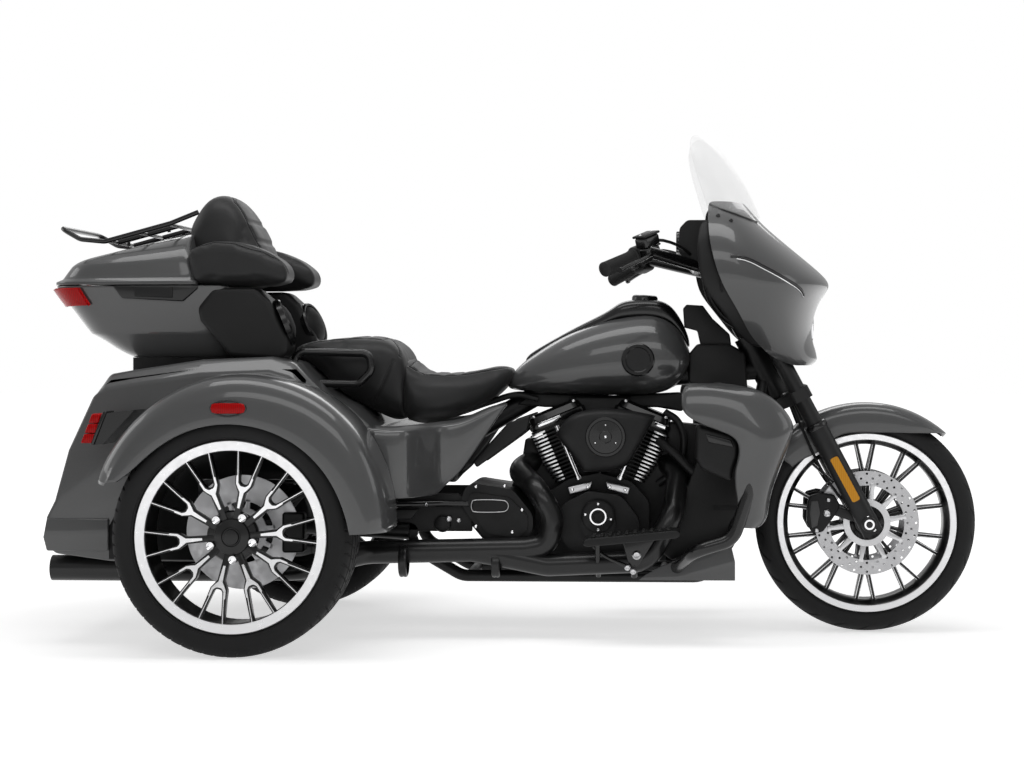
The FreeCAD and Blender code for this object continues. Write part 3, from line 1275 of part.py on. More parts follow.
def trunk_door():
    """The door in the rear wall, with its two hinge knuckles on leaves at its foot."""
    panel = body_block().cut(trunk_space()).common(door_cut(0.0))
    pieces = [panel]
    for side in (-1, 1):
        y0, y1 = sorted(side * (DOOR_HINGE_Y + i * KNUCKLE_LENGTH) for i in (0, 1))
        knuckle = hinge_rod(y0, y1, KNUCKLE_RADIUS)
        top = DOOR_LOW_Z + OVERRUN
        face, high = body_face_x(DOOR_LOW_Z), body_face_x(top)
        corners = [(DOOR_HINGE_X - KNUCKLE_RADIUS, DOOR_HINGE_Z), (face + PLATE, DOOR_LOW_Z), (high + PLATE, top),
                   (high - PLATE, top)]
        leaf = slab([V(x, y0, z) for x, z in corners], V(0, y1 - y0, 0))
        pieces += [knuckle, leaf]
    return joined(pieces).cut(hinge_rod(-TRUNK_HALF_WIDTH, TRUNK_HALF_WIDTH, KNUCKLE_PIN_RADIUS + SEAM))


def plate_bracket():
    """A plain plate on two feet on the trunk door, with the four holes of a licence plate."""
    x = body_face_x(PLATE_BRACKET_Z) - PLATE_STANDOFF
    half, rise = PLATE_BRACKET_WIDTH / 2, PLATE_BRACKET_HEIGHT / 2
    plate = block(x - PLATE, x, -half, half, PLATE_BRACKET_Z - rise, PLATE_BRACKET_Z + rise)
    holes = []
    for y in (-1, 1):
        for z in (-1, 1):
            p = V(x - OVERRUN, y * PLATE_HOLE_SPREAD / 2, PLATE_BRACKET_Z + z * PLATE_HOLE_RISE / 2)
            holes.append(rod(p, p + V(2 * OVERRUN, 0, 0), PLATE_HOLE_RADIUS))
    foot = block(x, x + PLATE_REACH, -half / 2, half / 2, PLATE_BRACKET_Z - rise / 2,
                 PLATE_BRACKET_Z + rise / 2)
    return joined([plate.cut(holes), foot.cut(body_block())])


def body_face_x(z):
    """Where the body's lower rear face stands at a height."""
    low, high = BODY_SIDE_SHARES[3], BODY_SIDE_SHARES[4]
    span = (z - BODY_LOW_Z) / BODY_HEIGHT
    along = low[0] + (high[0] - low[0]) * (span - low[1]) / (high[1] - low[1])
    return BODY_REAR_X + along * BODY_LENGTH


def fender_form():
    """An upright ellipse pulled sideways, with its outer rim rolled over."""
    turn = FreeCAD.Matrix()
    turn.scale(FENDER_RADIUS_X / FENDER_RADIUS_Z, 1, 1)
    solid = Part.makeCylinder(FENDER_RADIUS_Z, HALF_WIDTH - FENDER_IN_Y, V(0, FENDER_IN_Y, 0), Y_AXIS)
    edge = [e for e in solid.Edges if e.BoundBox.YMin > HALF_WIDTH - SEAM]
    solid = solid.makeFillet(FENDER_ROUND, edge)
    solid = solid.transformGeometry(turn)
    solid.translate(V(FENDER_SHIFT_X, 0, REAR_TYRE_RADIUS))
    return solid


def rear_fender():
    """A fender over one rear wheel: rolled outer rim, a lip outside the tyre, open below."""
    z = REAR_TYRE_RADIUS
    form = fender_form()
    arch = cross_rod(0.0, z, FENDER_IN_Y - SEAM, HALF_WIDTH - LIP_THICK, ARCH_RADIUS)
    arch_drop = block(-ARCH_RADIUS, ARCH_RADIUS, FENDER_IN_Y - SEAM, HALF_WIDTH - LIP_THICK, -z, z)
    lip = cross_rod(0.0, z, FENDER_IN_Y, HALF_WIDTH + OVERRUN, LIP_RADIUS)
    below = FENDER_RADIUS_Z + OVERRUN
    low = block(-below, below, FENDER_IN_Y - OVERRUN, HALF_WIDTH + OVERRUN, -below, FENDER_FRONT_Z)
    rear = block(-below, 0, FENDER_IN_Y - OVERRUN, HALF_WIDTH + OVERRUN, -below, FENDER_REAR_Z)
    return form.cut([arch, arch_drop, lip, low, rear, side_marker(SEAM)]).cut(body_block())


def rear_fenders():
    return group(pair(rear_fender()))


def side_marker(gap):
    """The marker lens let into a fender's outer face; with a gap it is its pocket."""
    half, rise = MARKER_LENGTH / 2 + gap, MARKER_HEIGHT / 2 + gap
    y = HALF_WIDTH - MARKER_THICK - gap
    corners = [V(MARKER_X - half, y, MARKER_Z - rise), V(MARKER_X + half, y, MARKER_Z - rise),
               V(MARKER_X + half, y, MARKER_Z + rise), V(MARKER_X - half, y, MARKER_Z + rise)]
    return slab(corners, V(0, MARKER_THICK + gap, 0), MARKER_HEIGHT / 3)


def box_lamp():
    """A lamp that wraps a rear corner of the luggage box."""
    band = side_slab(BOX_LAMP_SHARES, BOX_LAMP_REAR_X, BOX_LAMP_Z, BOX_LAMP_LENGTH, BOX_LAMP_HEIGHT,
                     BOX_LAMP_IN_Y, BOX_HALF_WIDTH + OVERRUN)
    return band.common(box_form(-BOX_LAMP_THICK)).cut(box_form(-SEAM))


def lamp_housings():
    """Leaning stalks from the body's sides that carry the tail lamps."""
    stalk = side_slab(STALK_SHARES, TAIL_X, TAIL_Z, TAIL_LENGTH, TAIL_HEIGHT, BODY_HALF_WIDTH + SEAM,
                      TAIL_Y + TAIL_WIDTH)
    return group(pair(stalk))


def red_lamps():
    """Tail lamps, the fenders' side markers and the luggage box's corner lamps."""
    lens = side_slab(LENS_SHARES, TAIL_X - 2 * SEAM, TAIL_Z, TAIL_LENGTH, TAIL_HEIGHT, TAIL_Y,
                     TAIL_Y + TAIL_WIDTH)
    return group(pair(lens) + pair(side_marker(0.0)) + pair(box_lamp()))


# Luggage box
@lru_cache
def box_form(gap):
    """The box up to the lid's seam, drawn in by a gap."""
    rings = []
    for rear, up, wide in BOX_SHARES:
        x0 = BOX_REAR_X + rear * BOX_LENGTH + gap
        rings.append(level_ring(BOX_LOW_Z + up * BOX_HEIGHT, x0, BOX_REAR_X + BOX_LENGTH - gap,
                                wide * BOX_HALF_WIDTH - gap, BOX_CORNER, BOX_CORNER / 2))
    return Part.makeLoft(rings, True, True)


@lru_cache
def lid_form(gap):
    """The lid from its seam to its crown, with its front raked back, drawn in by a gap."""
    z0 = BOX_LOW_Z + BOX_HEIGHT + SEAM
    rings = []
    for rear, up, wide, front in LID_SHARES:
        rings.append(level_ring(z0 + up * (LID_HEIGHT - gap), BOX_REAR_X + rear * BOX_LENGTH + gap,
                                BOX_REAR_X + front * BOX_LENGTH - gap, wide * BOX_HALF_WIDTH - gap,
                                BOX_CORNER * wide, BOX_CORNER * wide / 3))
    return Part.makeLoft(rings, True, True)


def tour_box():
    floor = block(BOX_REAR_X, BOX_REAR_X + BOX_LENGTH, -BOX_HALF_WIDTH, BOX_HALF_WIDTH, BOX_LOW_Z - OVERRUN,
                  BOX_LOW_Z + BOX_WALL)
    return box_form(0.0).cut(box_form(BOX_WALL).cut(floor))


def lid_knuckles(x_step, y_in, z0, z1):
    """One half of the lid's two hinges: a knuckle at each, on a leaf from y_in out to the hinge line."""
    y, z = BOX_HALF_WIDTH + HINGE_OUT, BOX_LOW_Z + BOX_HEIGHT + HINGE_LIFT
    pieces = []
    for share in LID_HINGE_SHARES:
        x0 = BOX_REAR_X + share * BOX_LENGTH + x_step
        x1 = x0 + KNUCKLE_LENGTH - SEAM
        pieces.append(joined([rod(V(x0, y, z), V(x1, y, z), HINGE_RADIUS), block(x0, x1, y_in, y, z0, z1)]))
    return pieces


def tour_lid():
    """The hollow lid with its halves of the hinges."""
    z = BOX_LOW_Z + BOX_HEIGHT + HINGE_LIFT
    halves = lid_knuckles(0.0, BOX_HALF_WIDTH - BOX_WALL, z, z + PLATE)
    return joined([lid_form(0.0).cut(lid_form(BOX_WALL))] + halves)


def box_latch():
    """The latch on the box's right side under the seam, and the box's halves of the hinges on the left."""
    y = BOX_HALF_WIDTH + SEAM
    top = BOX_LOW_Z + BOX_HEIGHT
    latch = side_slab(LATCH_SHARES, LATCH_REAR_X, top - LATCH_HEIGHT, LATCH_LENGTH, LATCH_HEIGHT,
                      -y - LATCH_THICK, -y)
    return group([latch] + lid_knuckles(KNUCKLE_LENGTH, y, top - OVERRUN / 4, top))


def box_carrier():
    """Two wedge-shaped rails that stand the luggage box on the body."""
    x0 = BOX_REAR_X + BOX_LENGTH * CARRIER_REAR_SHARE
    rails = []
    for side in (-1, 1):
        y = side * CARRIER_HALF_SPREAD
        rails.append(block(x0, BOX_REAR_X + BOX_LENGTH, y - CARRIER_HALF_RAIL, y + CARRIER_HALF_RAIL,
                           BOX_LOW_Z - CARRIER_DROP, BOX_LOW_Z - SEAM).cut(moved(body_block(), V(0, 0,
                                                                                                 SEAM))))
    return group(rails)


def speaker_pods():
    """Pods ahead of the box, each with a round speaker's recess in its sloped face."""
    pod = side_slab(POD_SHARES, POD_REAR_X, POD_LOW_Z, POD_LENGTH, POD_HEIGHT, POD_IN_Y, POD_OUT_Y,
                    POD_ROUND)
    low, high = place(POD_SHARES[3:5], POD_REAR_X, POD_LOW_Z, POD_LENGTH, POD_HEIGHT,
                      (POD_IN_Y + POD_OUT_Y) / 2)
    out = V(low.z - high.z, 0, high.x - low.x).normalize()
    middle = (low + high) / 2
    recess = rod(middle - out * SPEAKER_DEPTH, middle + out * OVERRUN, SPEAKER_RADIUS)
    return group(pair(pod.cut(box_form(-SEAM)).cut(recess)))


def backrest():
    pad = side_slab(BACKREST_SHARES, BACKREST_REAR_X, BACKREST_LOW_Z, BACKREST_LENGTH, BACKREST_HEIGHT,
                    -BACKREST_HALF_WIDTH, BACKREST_HALF_WIDTH, POD_ROUND)
    arm = side_slab(ARM_SHARES, ARM_REAR_X, ARM_LOW_Z, ARM_LENGTH, ARM_HEIGHT, ARM_IN_Y - OVERRUN / 2,
                    ARM_OUT_Y,
                    POD_ROUND)
    return joined([pad] + pair(arm)).cut(lid_form(-SEAM))


def rack_z(share):
    """The rack's height at a share of its length, along its straight middle run."""
    (x0, z0), (x1, z1) = RACK_SHARES[2], RACK_SHARES[1]
    return RACK_LOW_Z + RACK_RISE * (z0 + (z1 - z0) * (share - x0) / (x1 - x0))


def luggage_rack():
    """A bent loop of tube over the lid with bars across it and four feet on the lid."""
    right = place(RACK_SHARES, RACK_REAR_X, RACK_LOW_Z, RACK_LENGTH, RACK_RISE, -RACK_HALF_WIDTH)
    left = [V(p.x, -p.y, p.z) for p in reversed(right)]
    pieces = [tube(right + left, RACK_BEND, RACK_RADIUS)]
    for share in RACK_BAR_SHARES:
        x = RACK_REAR_X + share * RACK_LENGTH
        pieces.append(cross_rod(x, rack_z(share), -RACK_HALF_WIDTH, RACK_HALF_WIDTH, RACK_BAR_RADIUS))
    lid = lid_form(-SEAM)
    first, last = RACK_BAR_SHARES[0], RACK_BAR_SHARES[-1]
    for side in (-1, 1):
        y = side * RACK_FOOT_Y
        pieces.append(rod(V(RACK_REAR_X + first * RACK_LENGTH, y, rack_z(first)),
                          V(RACK_REAR_X + last * RACK_LENGTH, y, rack_z(last)), RACK_RADIUS))
        for share in RACK_FOOT_SHARES:
            foot = V(RACK_REAR_X + share * RACK_LENGTH, y, rack_z(share))
            pieces.append(rod(foot, foot - V(0, 0, RACK_DROP), RACK_FOOT_RADIUS).cut(lid))
    return joined(pieces)


# Steered pieces
def fork():
    """Sliders, tubes and clamps about the stem, with the front axle between the legs."""
    pieces = [rod(on_head(CLAMP_LOW), on_head(CLAMP_HIGH + CLAMP_HEIGHT), STEM_RADIUS)]
    for side in (-1, 1):
        y = side * FORK_HALF_SPREAD
        pieces.append(rod(on_leg(-SLIDER_RADIUS, y), on_leg(SLIDER_LENGTH, y), SLIDER_RADIUS))
        pieces.append(rod(on_leg(0, y), on_leg(LEG_TOP, y), TUBE_RADIUS))
    for t in (CLAMP_LOW, CLAMP_HIGH):
        pieces.append(clamp(t))
    spindle = cross_rod(WHEELBASE, FRONT_TYRE_RADIUS, -FORK_HALF_SPREAD - SLIDER_RADIUS - AXLE_NUT,
                        FORK_HALF_SPREAD + SLIDER_RADIUS + AXLE_NUT, FRONT_AXLE_RADIUS)
    bore = cross_rod(WHEELBASE, FRONT_TYRE_RADIUS, -FORK_HALF_SPREAD - OVERRUN * 2,
                     FORK_HALF_SPREAD + OVERRUN * 2,
                     FRONT_AXLE_BORE)
    return joined(pieces + [spindle]).cut(bore)


def clamp(t):
    """A flat clamp square to the steering axis that holds the stem and both tubes."""
    foot = on_head(t)
    forward = V(math.cos(RAKE), 0, math.sin(RAKE))
    half = FORK_HALF_SPREAD + TUBE_RADIUS
    waist = STEM_RADIUS + CLAMP_RIM
    front = FORK_OFFSET + TUBE_RADIUS + CLAMP_RIM
    corners = []
    for along, across in ((-waist, -waist), (FORK_OFFSET - TUBE_RADIUS, -half), (front, -half), (front,
                                                                                                 half),
                          (FORK_OFFSET - TUBE_RADIUS, half), (-waist, waist)):
        corners.append(foot + forward * along + V(0, across, 0))
    return slab(corners, STEER_UP * CLAMP_HEIGHT, waist / 2)


def front_calipers():
    """A caliper behind each fork leg, held by a lug on the slider."""
    x, z = WHEELBASE, FRONT_TYRE_RADIUS
    body = caliper(x, z, DISC_OFFSET, DISC_RADIUS, DISC_THICK, -1)
    y0 = DISC_OFFSET + DISC_THICK / 2 + PAD_GAP
    lug = block(x - DISC_RADIUS + CALIPER_HEIGHT / 4, x, y0, FORK_HALF_SPREAD - SLIDER_RADIUS / 2,
                z + CALIPER_HEIGHT / 4, z + CALIPER_HEIGHT)
    slider = rod(on_leg(-SLIDER_RADIUS), on_leg(SLIDER_LENGTH), SLIDER_RADIUS + SEAM)
    spindle = cross_rod(x, z, 0, FORK_HALF_SPREAD, FRONT_AXLE_RADIUS + SEAM)
    return group(pair(joined([body, lug]).cut(slider).cut(spindle)))


def reflectors():
    """Amber strips along the outer sides of the fork legs."""
    y = FORK_HALF_SPREAD + SLIDER_RADIUS + SEAM
    across = V(math.cos(RAKE), 0, math.sin(RAKE)) * (REFLECTOR_WIDTH / 2)
    foot, head = on_leg(REFLECTOR_LOW, y), on_leg(REFLECTOR_LOW + REFLECTOR_LENGTH, y)
    strip = slab([foot - across, foot + across, head + across, head - across], V(0, PLATE, 0),
                 REFLECTOR_WIDTH / 4)
    return group(pair(strip))


def controls():
    """Switch housings inboard of the grips, with their reservoirs and levers."""
    direction = V(*GRIP_DIRECTION).normalize()
    inner = V(*GRIP_END) + direction * (GRIP_LENGTH + SEAM)
    housing = rod(inner, inner + direction * HOUSING_LENGTH, HOUSING_RADIUS)
    middle = inner + direction * (HOUSING_LENGTH / 2)
    tank = block(middle.x, middle.x + HOUSING_LENGTH, middle.y - HOUSING_RADIUS, middle.y + HOUSING_RADIUS,
                 middle.z, middle.z + HOUSING_LENGTH)
    lever = tube([middle, middle + V(LEVER_FORWARD, 0, 0), V(*GRIP_END) + V(LEVER_FORWARD, 0, 0)],
                 HOUSING_RADIUS, LEVER_RADIUS)
    whole = joined([housing, tank, lever]).cut(handlebar_form(BAR_RADIUS + SEAM))
    return group(pair(whole))


def front_fender():
    x, z = WHEELBASE, FRONT_TYRE_RADIUS
    half = FRONT_FENDER_HALF_WIDTH
    form = cross_rod(x, z, -half, half, FRONT_FENDER_RADIUS)
    form = form.makeFillet(FRONT_FENDER_ROUND, form.Edges)
    inner = cross_rod(x, z, -half + PLATE, half - PLATE, FRONT_FENDER_RADIUS - PLATE)
    inner = inner.makeFillet(FRONT_FENDER_ROUND, inner.Edges)
    keep = side_slab(FRONT_FENDER_SHARES, FRONT_FENDER_X, FRONT_FENDER_Z, FRONT_FENDER_LENGTH,
                     FRONT_FENDER_HEIGHT,
                     -half - OVERRUN, half + OVERRUN)
    lug_x, lug_z = on_leg(FENDER_LUG).x, on_leg(FENDER_LUG).z
    lug = cross_rod(lug_x, lug_z, half - PLATE / 2, FORK_HALF_SPREAD, FENDER_LUG_RADIUS)
    lug = lug.cut(rod(on_leg(0), on_leg(SLIDER_LENGTH), SLIDER_RADIUS + SEAM))
    return joined([form.cut(inner).common(keep)] + pair(lug))


def fairing_form(shares, inset):
    return bow_form(shares, FAIRING_REAR_X, FAIRING_LOW_Z, FAIRING_LENGTH, FAIRING_HEIGHT,
                    FAIRING_HALF_WIDTH, inset)


@lru_cache
def shield_side(gap):
    """All that lies above the slanted seam between fairing and windshield."""
    above = side_slab(SHIELD_SEAM_SHARES, FAIRING_REAR_X, FAIRING_LOW_Z, FAIRING_LENGTH, FAIRING_HEIGHT,
                      -HALF_WIDTH, HALF_WIDTH)
    above.translate(V(0, 0, gap))
    return above


def fairing():
    """The outer fairing: a thin shell, open behind, with the headlamp's round hole."""
    shares = FAIRING_SHARES + SHIELD_SHARES[:3]
    shell = fairing_form(shares, 0.0).cut(fairing_form(shares, FAIRING_WALL)).cut(shield_side(0.0))
    hole = rod(V(FAIRING_REAR_X, 0, HEADLAMP_Z), V(FAIRING_REAR_X + 2 * FAIRING_LENGTH, 0, HEADLAMP_Z),
               HEADLAMP_RADIUS + SEAM)
    return shell.cut(hole)


def windshield():
    shares = FAIRING_SHARES[-1:] + SHIELD_SHARES
    return fairing_form(shares, 0.0).cut(fairing_form(shares, SHIELD_WALL)).common(shield_side(SEAM))


def headlamp():
    """A round lamp body with a domed lens, in the fairing's hole."""
    front = FAIRING_REAR_X + FAIRING_LENGTH * HEADLAMP_NOSE_SHARE
    lamp = rod(V(front - HEADLAMP_DEPTH, 0, HEADLAMP_Z), V(front, 0, HEADLAMP_Z), HEADLAMP_RADIUS)
    rim = [e for e in lamp.Edges if e.BoundBox.XMin > front - SEAM]
    return lamp.makeFillet(HEADLAMP_DEPTH / 2, rim)


def inner_fairing():
    """The panel that closes the fairing towards the rider, with the instrument hood."""
    x0 = FAIRING_REAR_X + DASH_INSET
    panel = block(x0, x0 + FAIRING_WALL, -FAIRING_HALF_WIDTH, FAIRING_HALF_WIDTH, DASH_LOW_Z,
                  DASH_LOW_Z + DASH_HEIGHT)
    hood = side_slab(DASH_SHARES, DASH_REAR_X, DASH_LOW_Z, DASH_LENGTH, DASH_HEIGHT, -DASH_HALF_WIDTH,
                     DASH_HALF_WIDTH, BODY_CORNER / 2)
    inside = fairing_form(FAIRING_SHARES + SHIELD_SHARES[:3], FAIRING_WALL + SEAM)
    return joined([panel.common(inside),
                   hood]).cut(handlebar_form(BAR_RADIUS + SEAM)).cut(shield_side(-SEAM))


@lru_cache
def handlebar_form(radius):
    direction = V(*GRIP_DIRECTION).normalize()
    end = V(*GRIP_END)
    inner = end + direction * (GRIP_LENGTH + BAR_REACH)
    middle = on_head(CLAMP_HIGH + CLAMP_HEIGHT) + V(BAR_FORWARD, 0, BAR_RISE)
    points = [end + direction * (PLATE + SEAM), inner, middle + V(0, BAR_CENTRE, 0)]
    points += [V(p.x, -p.y, p.z) for p in reversed(points)]
    return tube(points, BAR_BEND, radius)


def handlebar():
    """The bar and its two risers on the upper clamp."""
    risers = []
    top = on_head(CLAMP_HIGH + CLAMP_HEIGHT)
    for side in (-1, 1):
        y = V(0, side * RISER_Y, 0)
        risers.append(rod(top + STEER_UP * SEAM + y, top + V(BAR_FORWARD, 0, BAR_RISE) + y, RISER_RADIUS))
    return joined([handlebar_form(BAR_RADIUS)] + risers).cut(clamp(CLAMP_HIGH))


def grips():
    direction = V(*GRIP_DIRECTION).normalize()
    end = V(*GRIP_END)
    grip = rod(end, end + direction * GRIP_LENGTH, GRIP_RADIUS)
    hole = rod(end + direction * PLATE, end + direction * (GRIP_LENGTH + OVERRUN), BAR_RADIUS + SEAM)
    return group(pair(grip.cut(hole)))


# Lower fairings and the rest of the front
@lru_cache
def lower_form(wall):
    """The lower fairing's outline; with a wall it is the space inside, open towards the engine."""
    shape = side_slab(LOWER_SHARES, LOWER_REAR_X, LOWER_LOW_Z, LOWER_LENGTH, LOWER_HEIGHT,
                      LOWER_IN_Y, LOWER_OUT_Y, LOWER_ROUND)
    if wall > 0:
        edge = [f for f in shape.Faces if abs(f.CenterOfMass.y - LOWER_IN_Y) < SEAM][0].OuterWire
        face = Part.Face(edge).makeOffset2D(-wall)
        shape = moved(face, V(0, -OVERRUN, 0)).extrude(V(0, LOWER_OUT_Y - LOWER_IN_Y - wall + OVERRUN, 0))
    return shape


@lru_cache
def guard_tube(radius):
    """One side of the guard: from the frame's down tube out inside the lower fairing and back."""
    points = place(GUARD_SHARES, LOWER_REAR_X, LOWER_LOW_Z, LOWER_LENGTH, LOWER_HEIGHT, GUARD_HALF_WIDTH)
    points[0].y = RAIL_HALF_SPREAD
    points[-1].y = RAIL_HALF_SPREAD + RAIL_RADIUS
    return tube(points, GUARD_BEND, radius)


def engine_guard():
    rails = frame_tubes()
    return group(pair(guard_tube(GUARD_RADIUS).cut(rails)))


def lower_fairings():
    panel = lower_form(0.0).cut(lower_form(LOWER_WALL)).cut(guard_tube(GUARD_RADIUS + SEAM))
    return group(pair(panel))


def lower_pods():
    """Vented boxes behind the lower fairings' outer walls."""
    pod = side_slab(VENT_SHARES, VENT_REAR_X, VENT_LOW_Z, VENT_LENGTH, VENT_HEIGHT, LOWER_IN_Y,
                    LOWER_OUT_Y - LOWER_ROUND, VENT_ROUND)
    return group(pair(pod.cut(lower_form(0.0)).cut(guard_tube(GUARD_RADIUS + SEAM))))


def radiator():
    """The cooler in front of the engine, on ears that reach the frame's down tubes."""
    core = block(RADIATOR_X, RADIATOR_X + RADIATOR_DEPTH, -RADIATOR_HALF_WIDTH, RADIATOR_HALF_WIDTH,
                 RADIATOR_LOW_Z, RADIATOR_LOW_Z + RADIATOR_HEIGHT)
    ear = block(RADIATOR_X + RADIATOR_DEPTH / 2, RADIATOR_X + 3 * RADIATOR_DEPTH, -RAIL_HALF_SPREAD,
                RAIL_HALF_SPREAD,
                RADIATOR_LOW_Z + OVERRUN, RADIATOR_LOW_Z + OVERRUN + 3 * PLATE)
    return joined([core, ear]).cut(pair(cradle_rail(RAIL_RADIUS + SEAM)))


def chin_spoiler():
    """A trough under the radiator, open above and behind, that the frame's rails pass through."""
    outer = side_slab(SPOILER_SHARES, SPOILER_REAR_X, SPOILER_LOW_Z, SPOILER_LENGTH, SPOILER_HEIGHT,
                      -SPOILER_HALF_WIDTH, SPOILER_HALF_WIDTH, LOWER_ROUND / 2)
    inner = side_slab(SPOILER_SHARES, SPOILER_REAR_X - LOWER_WALL, SPOILER_LOW_Z + LOWER_WALL,
                      SPOILER_LENGTH,
                      SPOILER_HEIGHT, -SPOILER_HALF_WIDTH + LOWER_WALL, SPOILER_HALF_WIDTH - LOWER_WALL,
                      LOWER_ROUND / 2)
    tubes = pair(cradle_rail(RAIL_RADIUS + SEAM)) + pair(guard_tube(GUARD_RADIUS + SEAM))
    return outer.cut(inner).cut(tubes)


def footboards():
    """A board on each side, on two bent brackets from the frame's lower rails."""
    board = slab(place(BOARD_SHARES, BOARD_REAR_X, BOARD_Z, BOARD_LENGTH, BOARD_THICK, BOARD_IN_Y),
                 V(0, BOARD_OUT_Y - BOARD_IN_Y, 0))
    board = board.makeFillet(BOARD_THICK / 3, board.Edges)
    pieces = [board]
    for share in BRACKET_SHARES:
        x = BOARD_REAR_X + share * BOARD_LENGTH
        y = BOARD_IN_Y + PEDAL_RADIUS * 2
        z = RAIL_Z - PEDAL_RADIUS
        top = BOARD_Z + share * BOARD_RISE + PLATE
        spots = [V(x, RAIL_HALF_SPREAD + RAIL_RADIUS + SEAM, z), V(x, y, z), V(x, y, top)]
        pieces.append(tube(spots, BRACKET_BEND, PEDAL_RADIUS))
    return group(pair(joined(pieces)))


NODES = {
    "frame_tubes": frame_tubes,
    "rear_axle": rear_axle,
    "crankcase": crankcase,
    "cylinders": cylinders,
    "rocker_covers": rocker_covers,
    "pushrod_tubes": pushrod_tubes,
    "air_cleaner": air_cleaner,
    "engine_covers": engine_covers,
    "transmission_case": transmission_case,
    "exhaust": exhaust,
    "fuel_tank": fuel_tank,
    "tank_console": tank_console,
    "seat": seat,
    "grab_loops": grab_loops,
    "side_covers": side_covers,
    "rear_body": rear_body,
    "rear_fenders": rear_fenders,
    "lamp_housings": lamp_housings,
    "red_lamps": red_lamps,
    "tour_box": tour_box,
    "box_latch": box_latch,
    "box_carrier": box_carrier,
    "speaker_pods": speaker_pods,
    "lower_fairings": lower_fairings,
    "lower_pods": lower_pods,
    "engine_guard": engine_guard,
    "radiator": radiator,
    "chin_spoiler": chin_spoiler,
    "footboards": footboards,
    "trunk_door": trunk_door,
    "plate_bracket": plate_bracket,
    "tour_lid": tour_lid,
    "backrest": backrest,
    "luggage_rack": luggage_rack,
    "fork": fork,
    "front_fender": front_fender,
    "front_calipers": front_calipers,
    "reflectors": reflectors,
    "fairing": fairing,
    "inner_fairing": inner_fairing,
    "headlamp": headlamp,
    "windshield": windshield,
    "controls": controls,
    "handlebar": handlebar,
    "grips": grips,
    "front_tyre": front_tyre,
    "front_rim": front_rim,
    "front_discs": front_discs,
    "rear_tyre_left": rear_tyre,
    "rear_rim_left": rear_rim,
    "rear_disc_left": rear_disc,
    "rear_tyre_right": lambda: mirrored(rear_tyre()),
    "rear_rim_right": lambda: mirrored(rear_rim()),
    "rear_disc_right": lambda: mirrored(rear_disc()),
}

os.makedirs("parts", exist_ok=True)
SHIFT = V(-(WHEELBASE + FRONT_TYRE_RADIUS - REAR_REACH) / 2, 0, 0)
for name, make in NODES.items():
    shape = moved(make(), SHIFT)
    shape.exportStep("parts/" + name + ".step")
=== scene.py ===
"""A full-size touring trike: looks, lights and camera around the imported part."""

import json
import math

import bmesh
import bpy
from mathutils import Matrix, Vector
from mathutils.kdtree import KDTree


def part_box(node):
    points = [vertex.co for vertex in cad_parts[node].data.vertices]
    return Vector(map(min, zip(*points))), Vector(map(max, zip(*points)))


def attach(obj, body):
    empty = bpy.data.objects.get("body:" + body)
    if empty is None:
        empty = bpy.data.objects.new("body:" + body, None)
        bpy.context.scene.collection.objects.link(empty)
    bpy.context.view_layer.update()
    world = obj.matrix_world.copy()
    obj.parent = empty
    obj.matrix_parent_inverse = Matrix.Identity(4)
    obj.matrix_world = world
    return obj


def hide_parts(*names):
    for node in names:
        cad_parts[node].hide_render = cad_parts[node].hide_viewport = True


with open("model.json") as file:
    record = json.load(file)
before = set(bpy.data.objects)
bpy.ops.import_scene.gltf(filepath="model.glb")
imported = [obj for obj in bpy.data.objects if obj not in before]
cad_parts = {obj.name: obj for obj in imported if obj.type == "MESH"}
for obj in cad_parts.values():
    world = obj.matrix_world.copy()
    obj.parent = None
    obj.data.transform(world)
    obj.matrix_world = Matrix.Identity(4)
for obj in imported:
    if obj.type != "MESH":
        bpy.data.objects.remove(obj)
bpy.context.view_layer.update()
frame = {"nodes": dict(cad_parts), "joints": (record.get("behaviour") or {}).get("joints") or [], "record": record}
JOINTS = {joint["name"]: joint for joint in frame["joints"]}
SLOT_OF = {part["node"]: part["material_slot"] for part in frame["record"]["subparts"]}
SIDES = ((-1, "right"), (1, "left"))
MM = 0.001
AXLE = Vector(JOINTS["rear_wheel_left_spin"]["pos_m"])
FRONT_AXLE = Vector(JOINTS["front_wheel_spin"]["pos_m"])
HALF_TRACK, WHEEL_Z = AXLE.y / MM, AXLE.z / MM
WHEELBASE, FRONT_WHEEL_Z = (FRONT_AXLE.x - AXLE.x) / MM, FRONT_AXLE.z / MM


def at(x, y, z):
    """A point in millimetres from the rear axle's foot on the ground, in the frame's metres."""
    return Vector((AXLE.x + x * MM, y * MM, z * MM))


def lerp(a, b, t):
    return a + (b - a) * t


# Materials
MATERIALS = {}
TEXTURE_LOW, TEXTURE_HIGH = 0.3, 0.7


def put(node, values):
    """Sets a node's inputs by name."""
    for key, value in values.items():
        node.inputs[key.replace("_", " ")].default_value = value
    return node


def add(tree, kind, **values):
    """A new shader node of a kind."""
    return put(tree.nodes.new("ShaderNode" + kind), values)


def wire(source, target):
    """Links an output to an input."""
    target.id_data.links.new(source, target)


def shader(name, color, roughness, metallic=0.0, **extra):
    """The principled shader of a new material."""
    material = MATERIALS[name] = bpy.data.materials.new(name)
    material.use_nodes = True
    surface = put(material.node_tree.nodes["Principled BSDF"], extra)
    return put(surface, {"Base Color": (*color, 1.0), "Roughness": roughness,
                         "Metallic": metallic})


def noise(surface, scale, detail=4.0, stretch=(1.0, 1.0, 1.0)):
    """A noise laid out in the object's own space."""
    tree = surface.id_data
    mapping = add(tree, "Mapping", Scale=stretch)
    texture = add(tree, "TexNoise", Scale=scale, Detail=detail)
    wire(add(tree, "TexCoord").outputs["Object"], mapping.inputs["Vector"])
    wire(mapping.outputs["Vector"], texture.inputs["Vector"])
    return texture.outputs["Fac"]


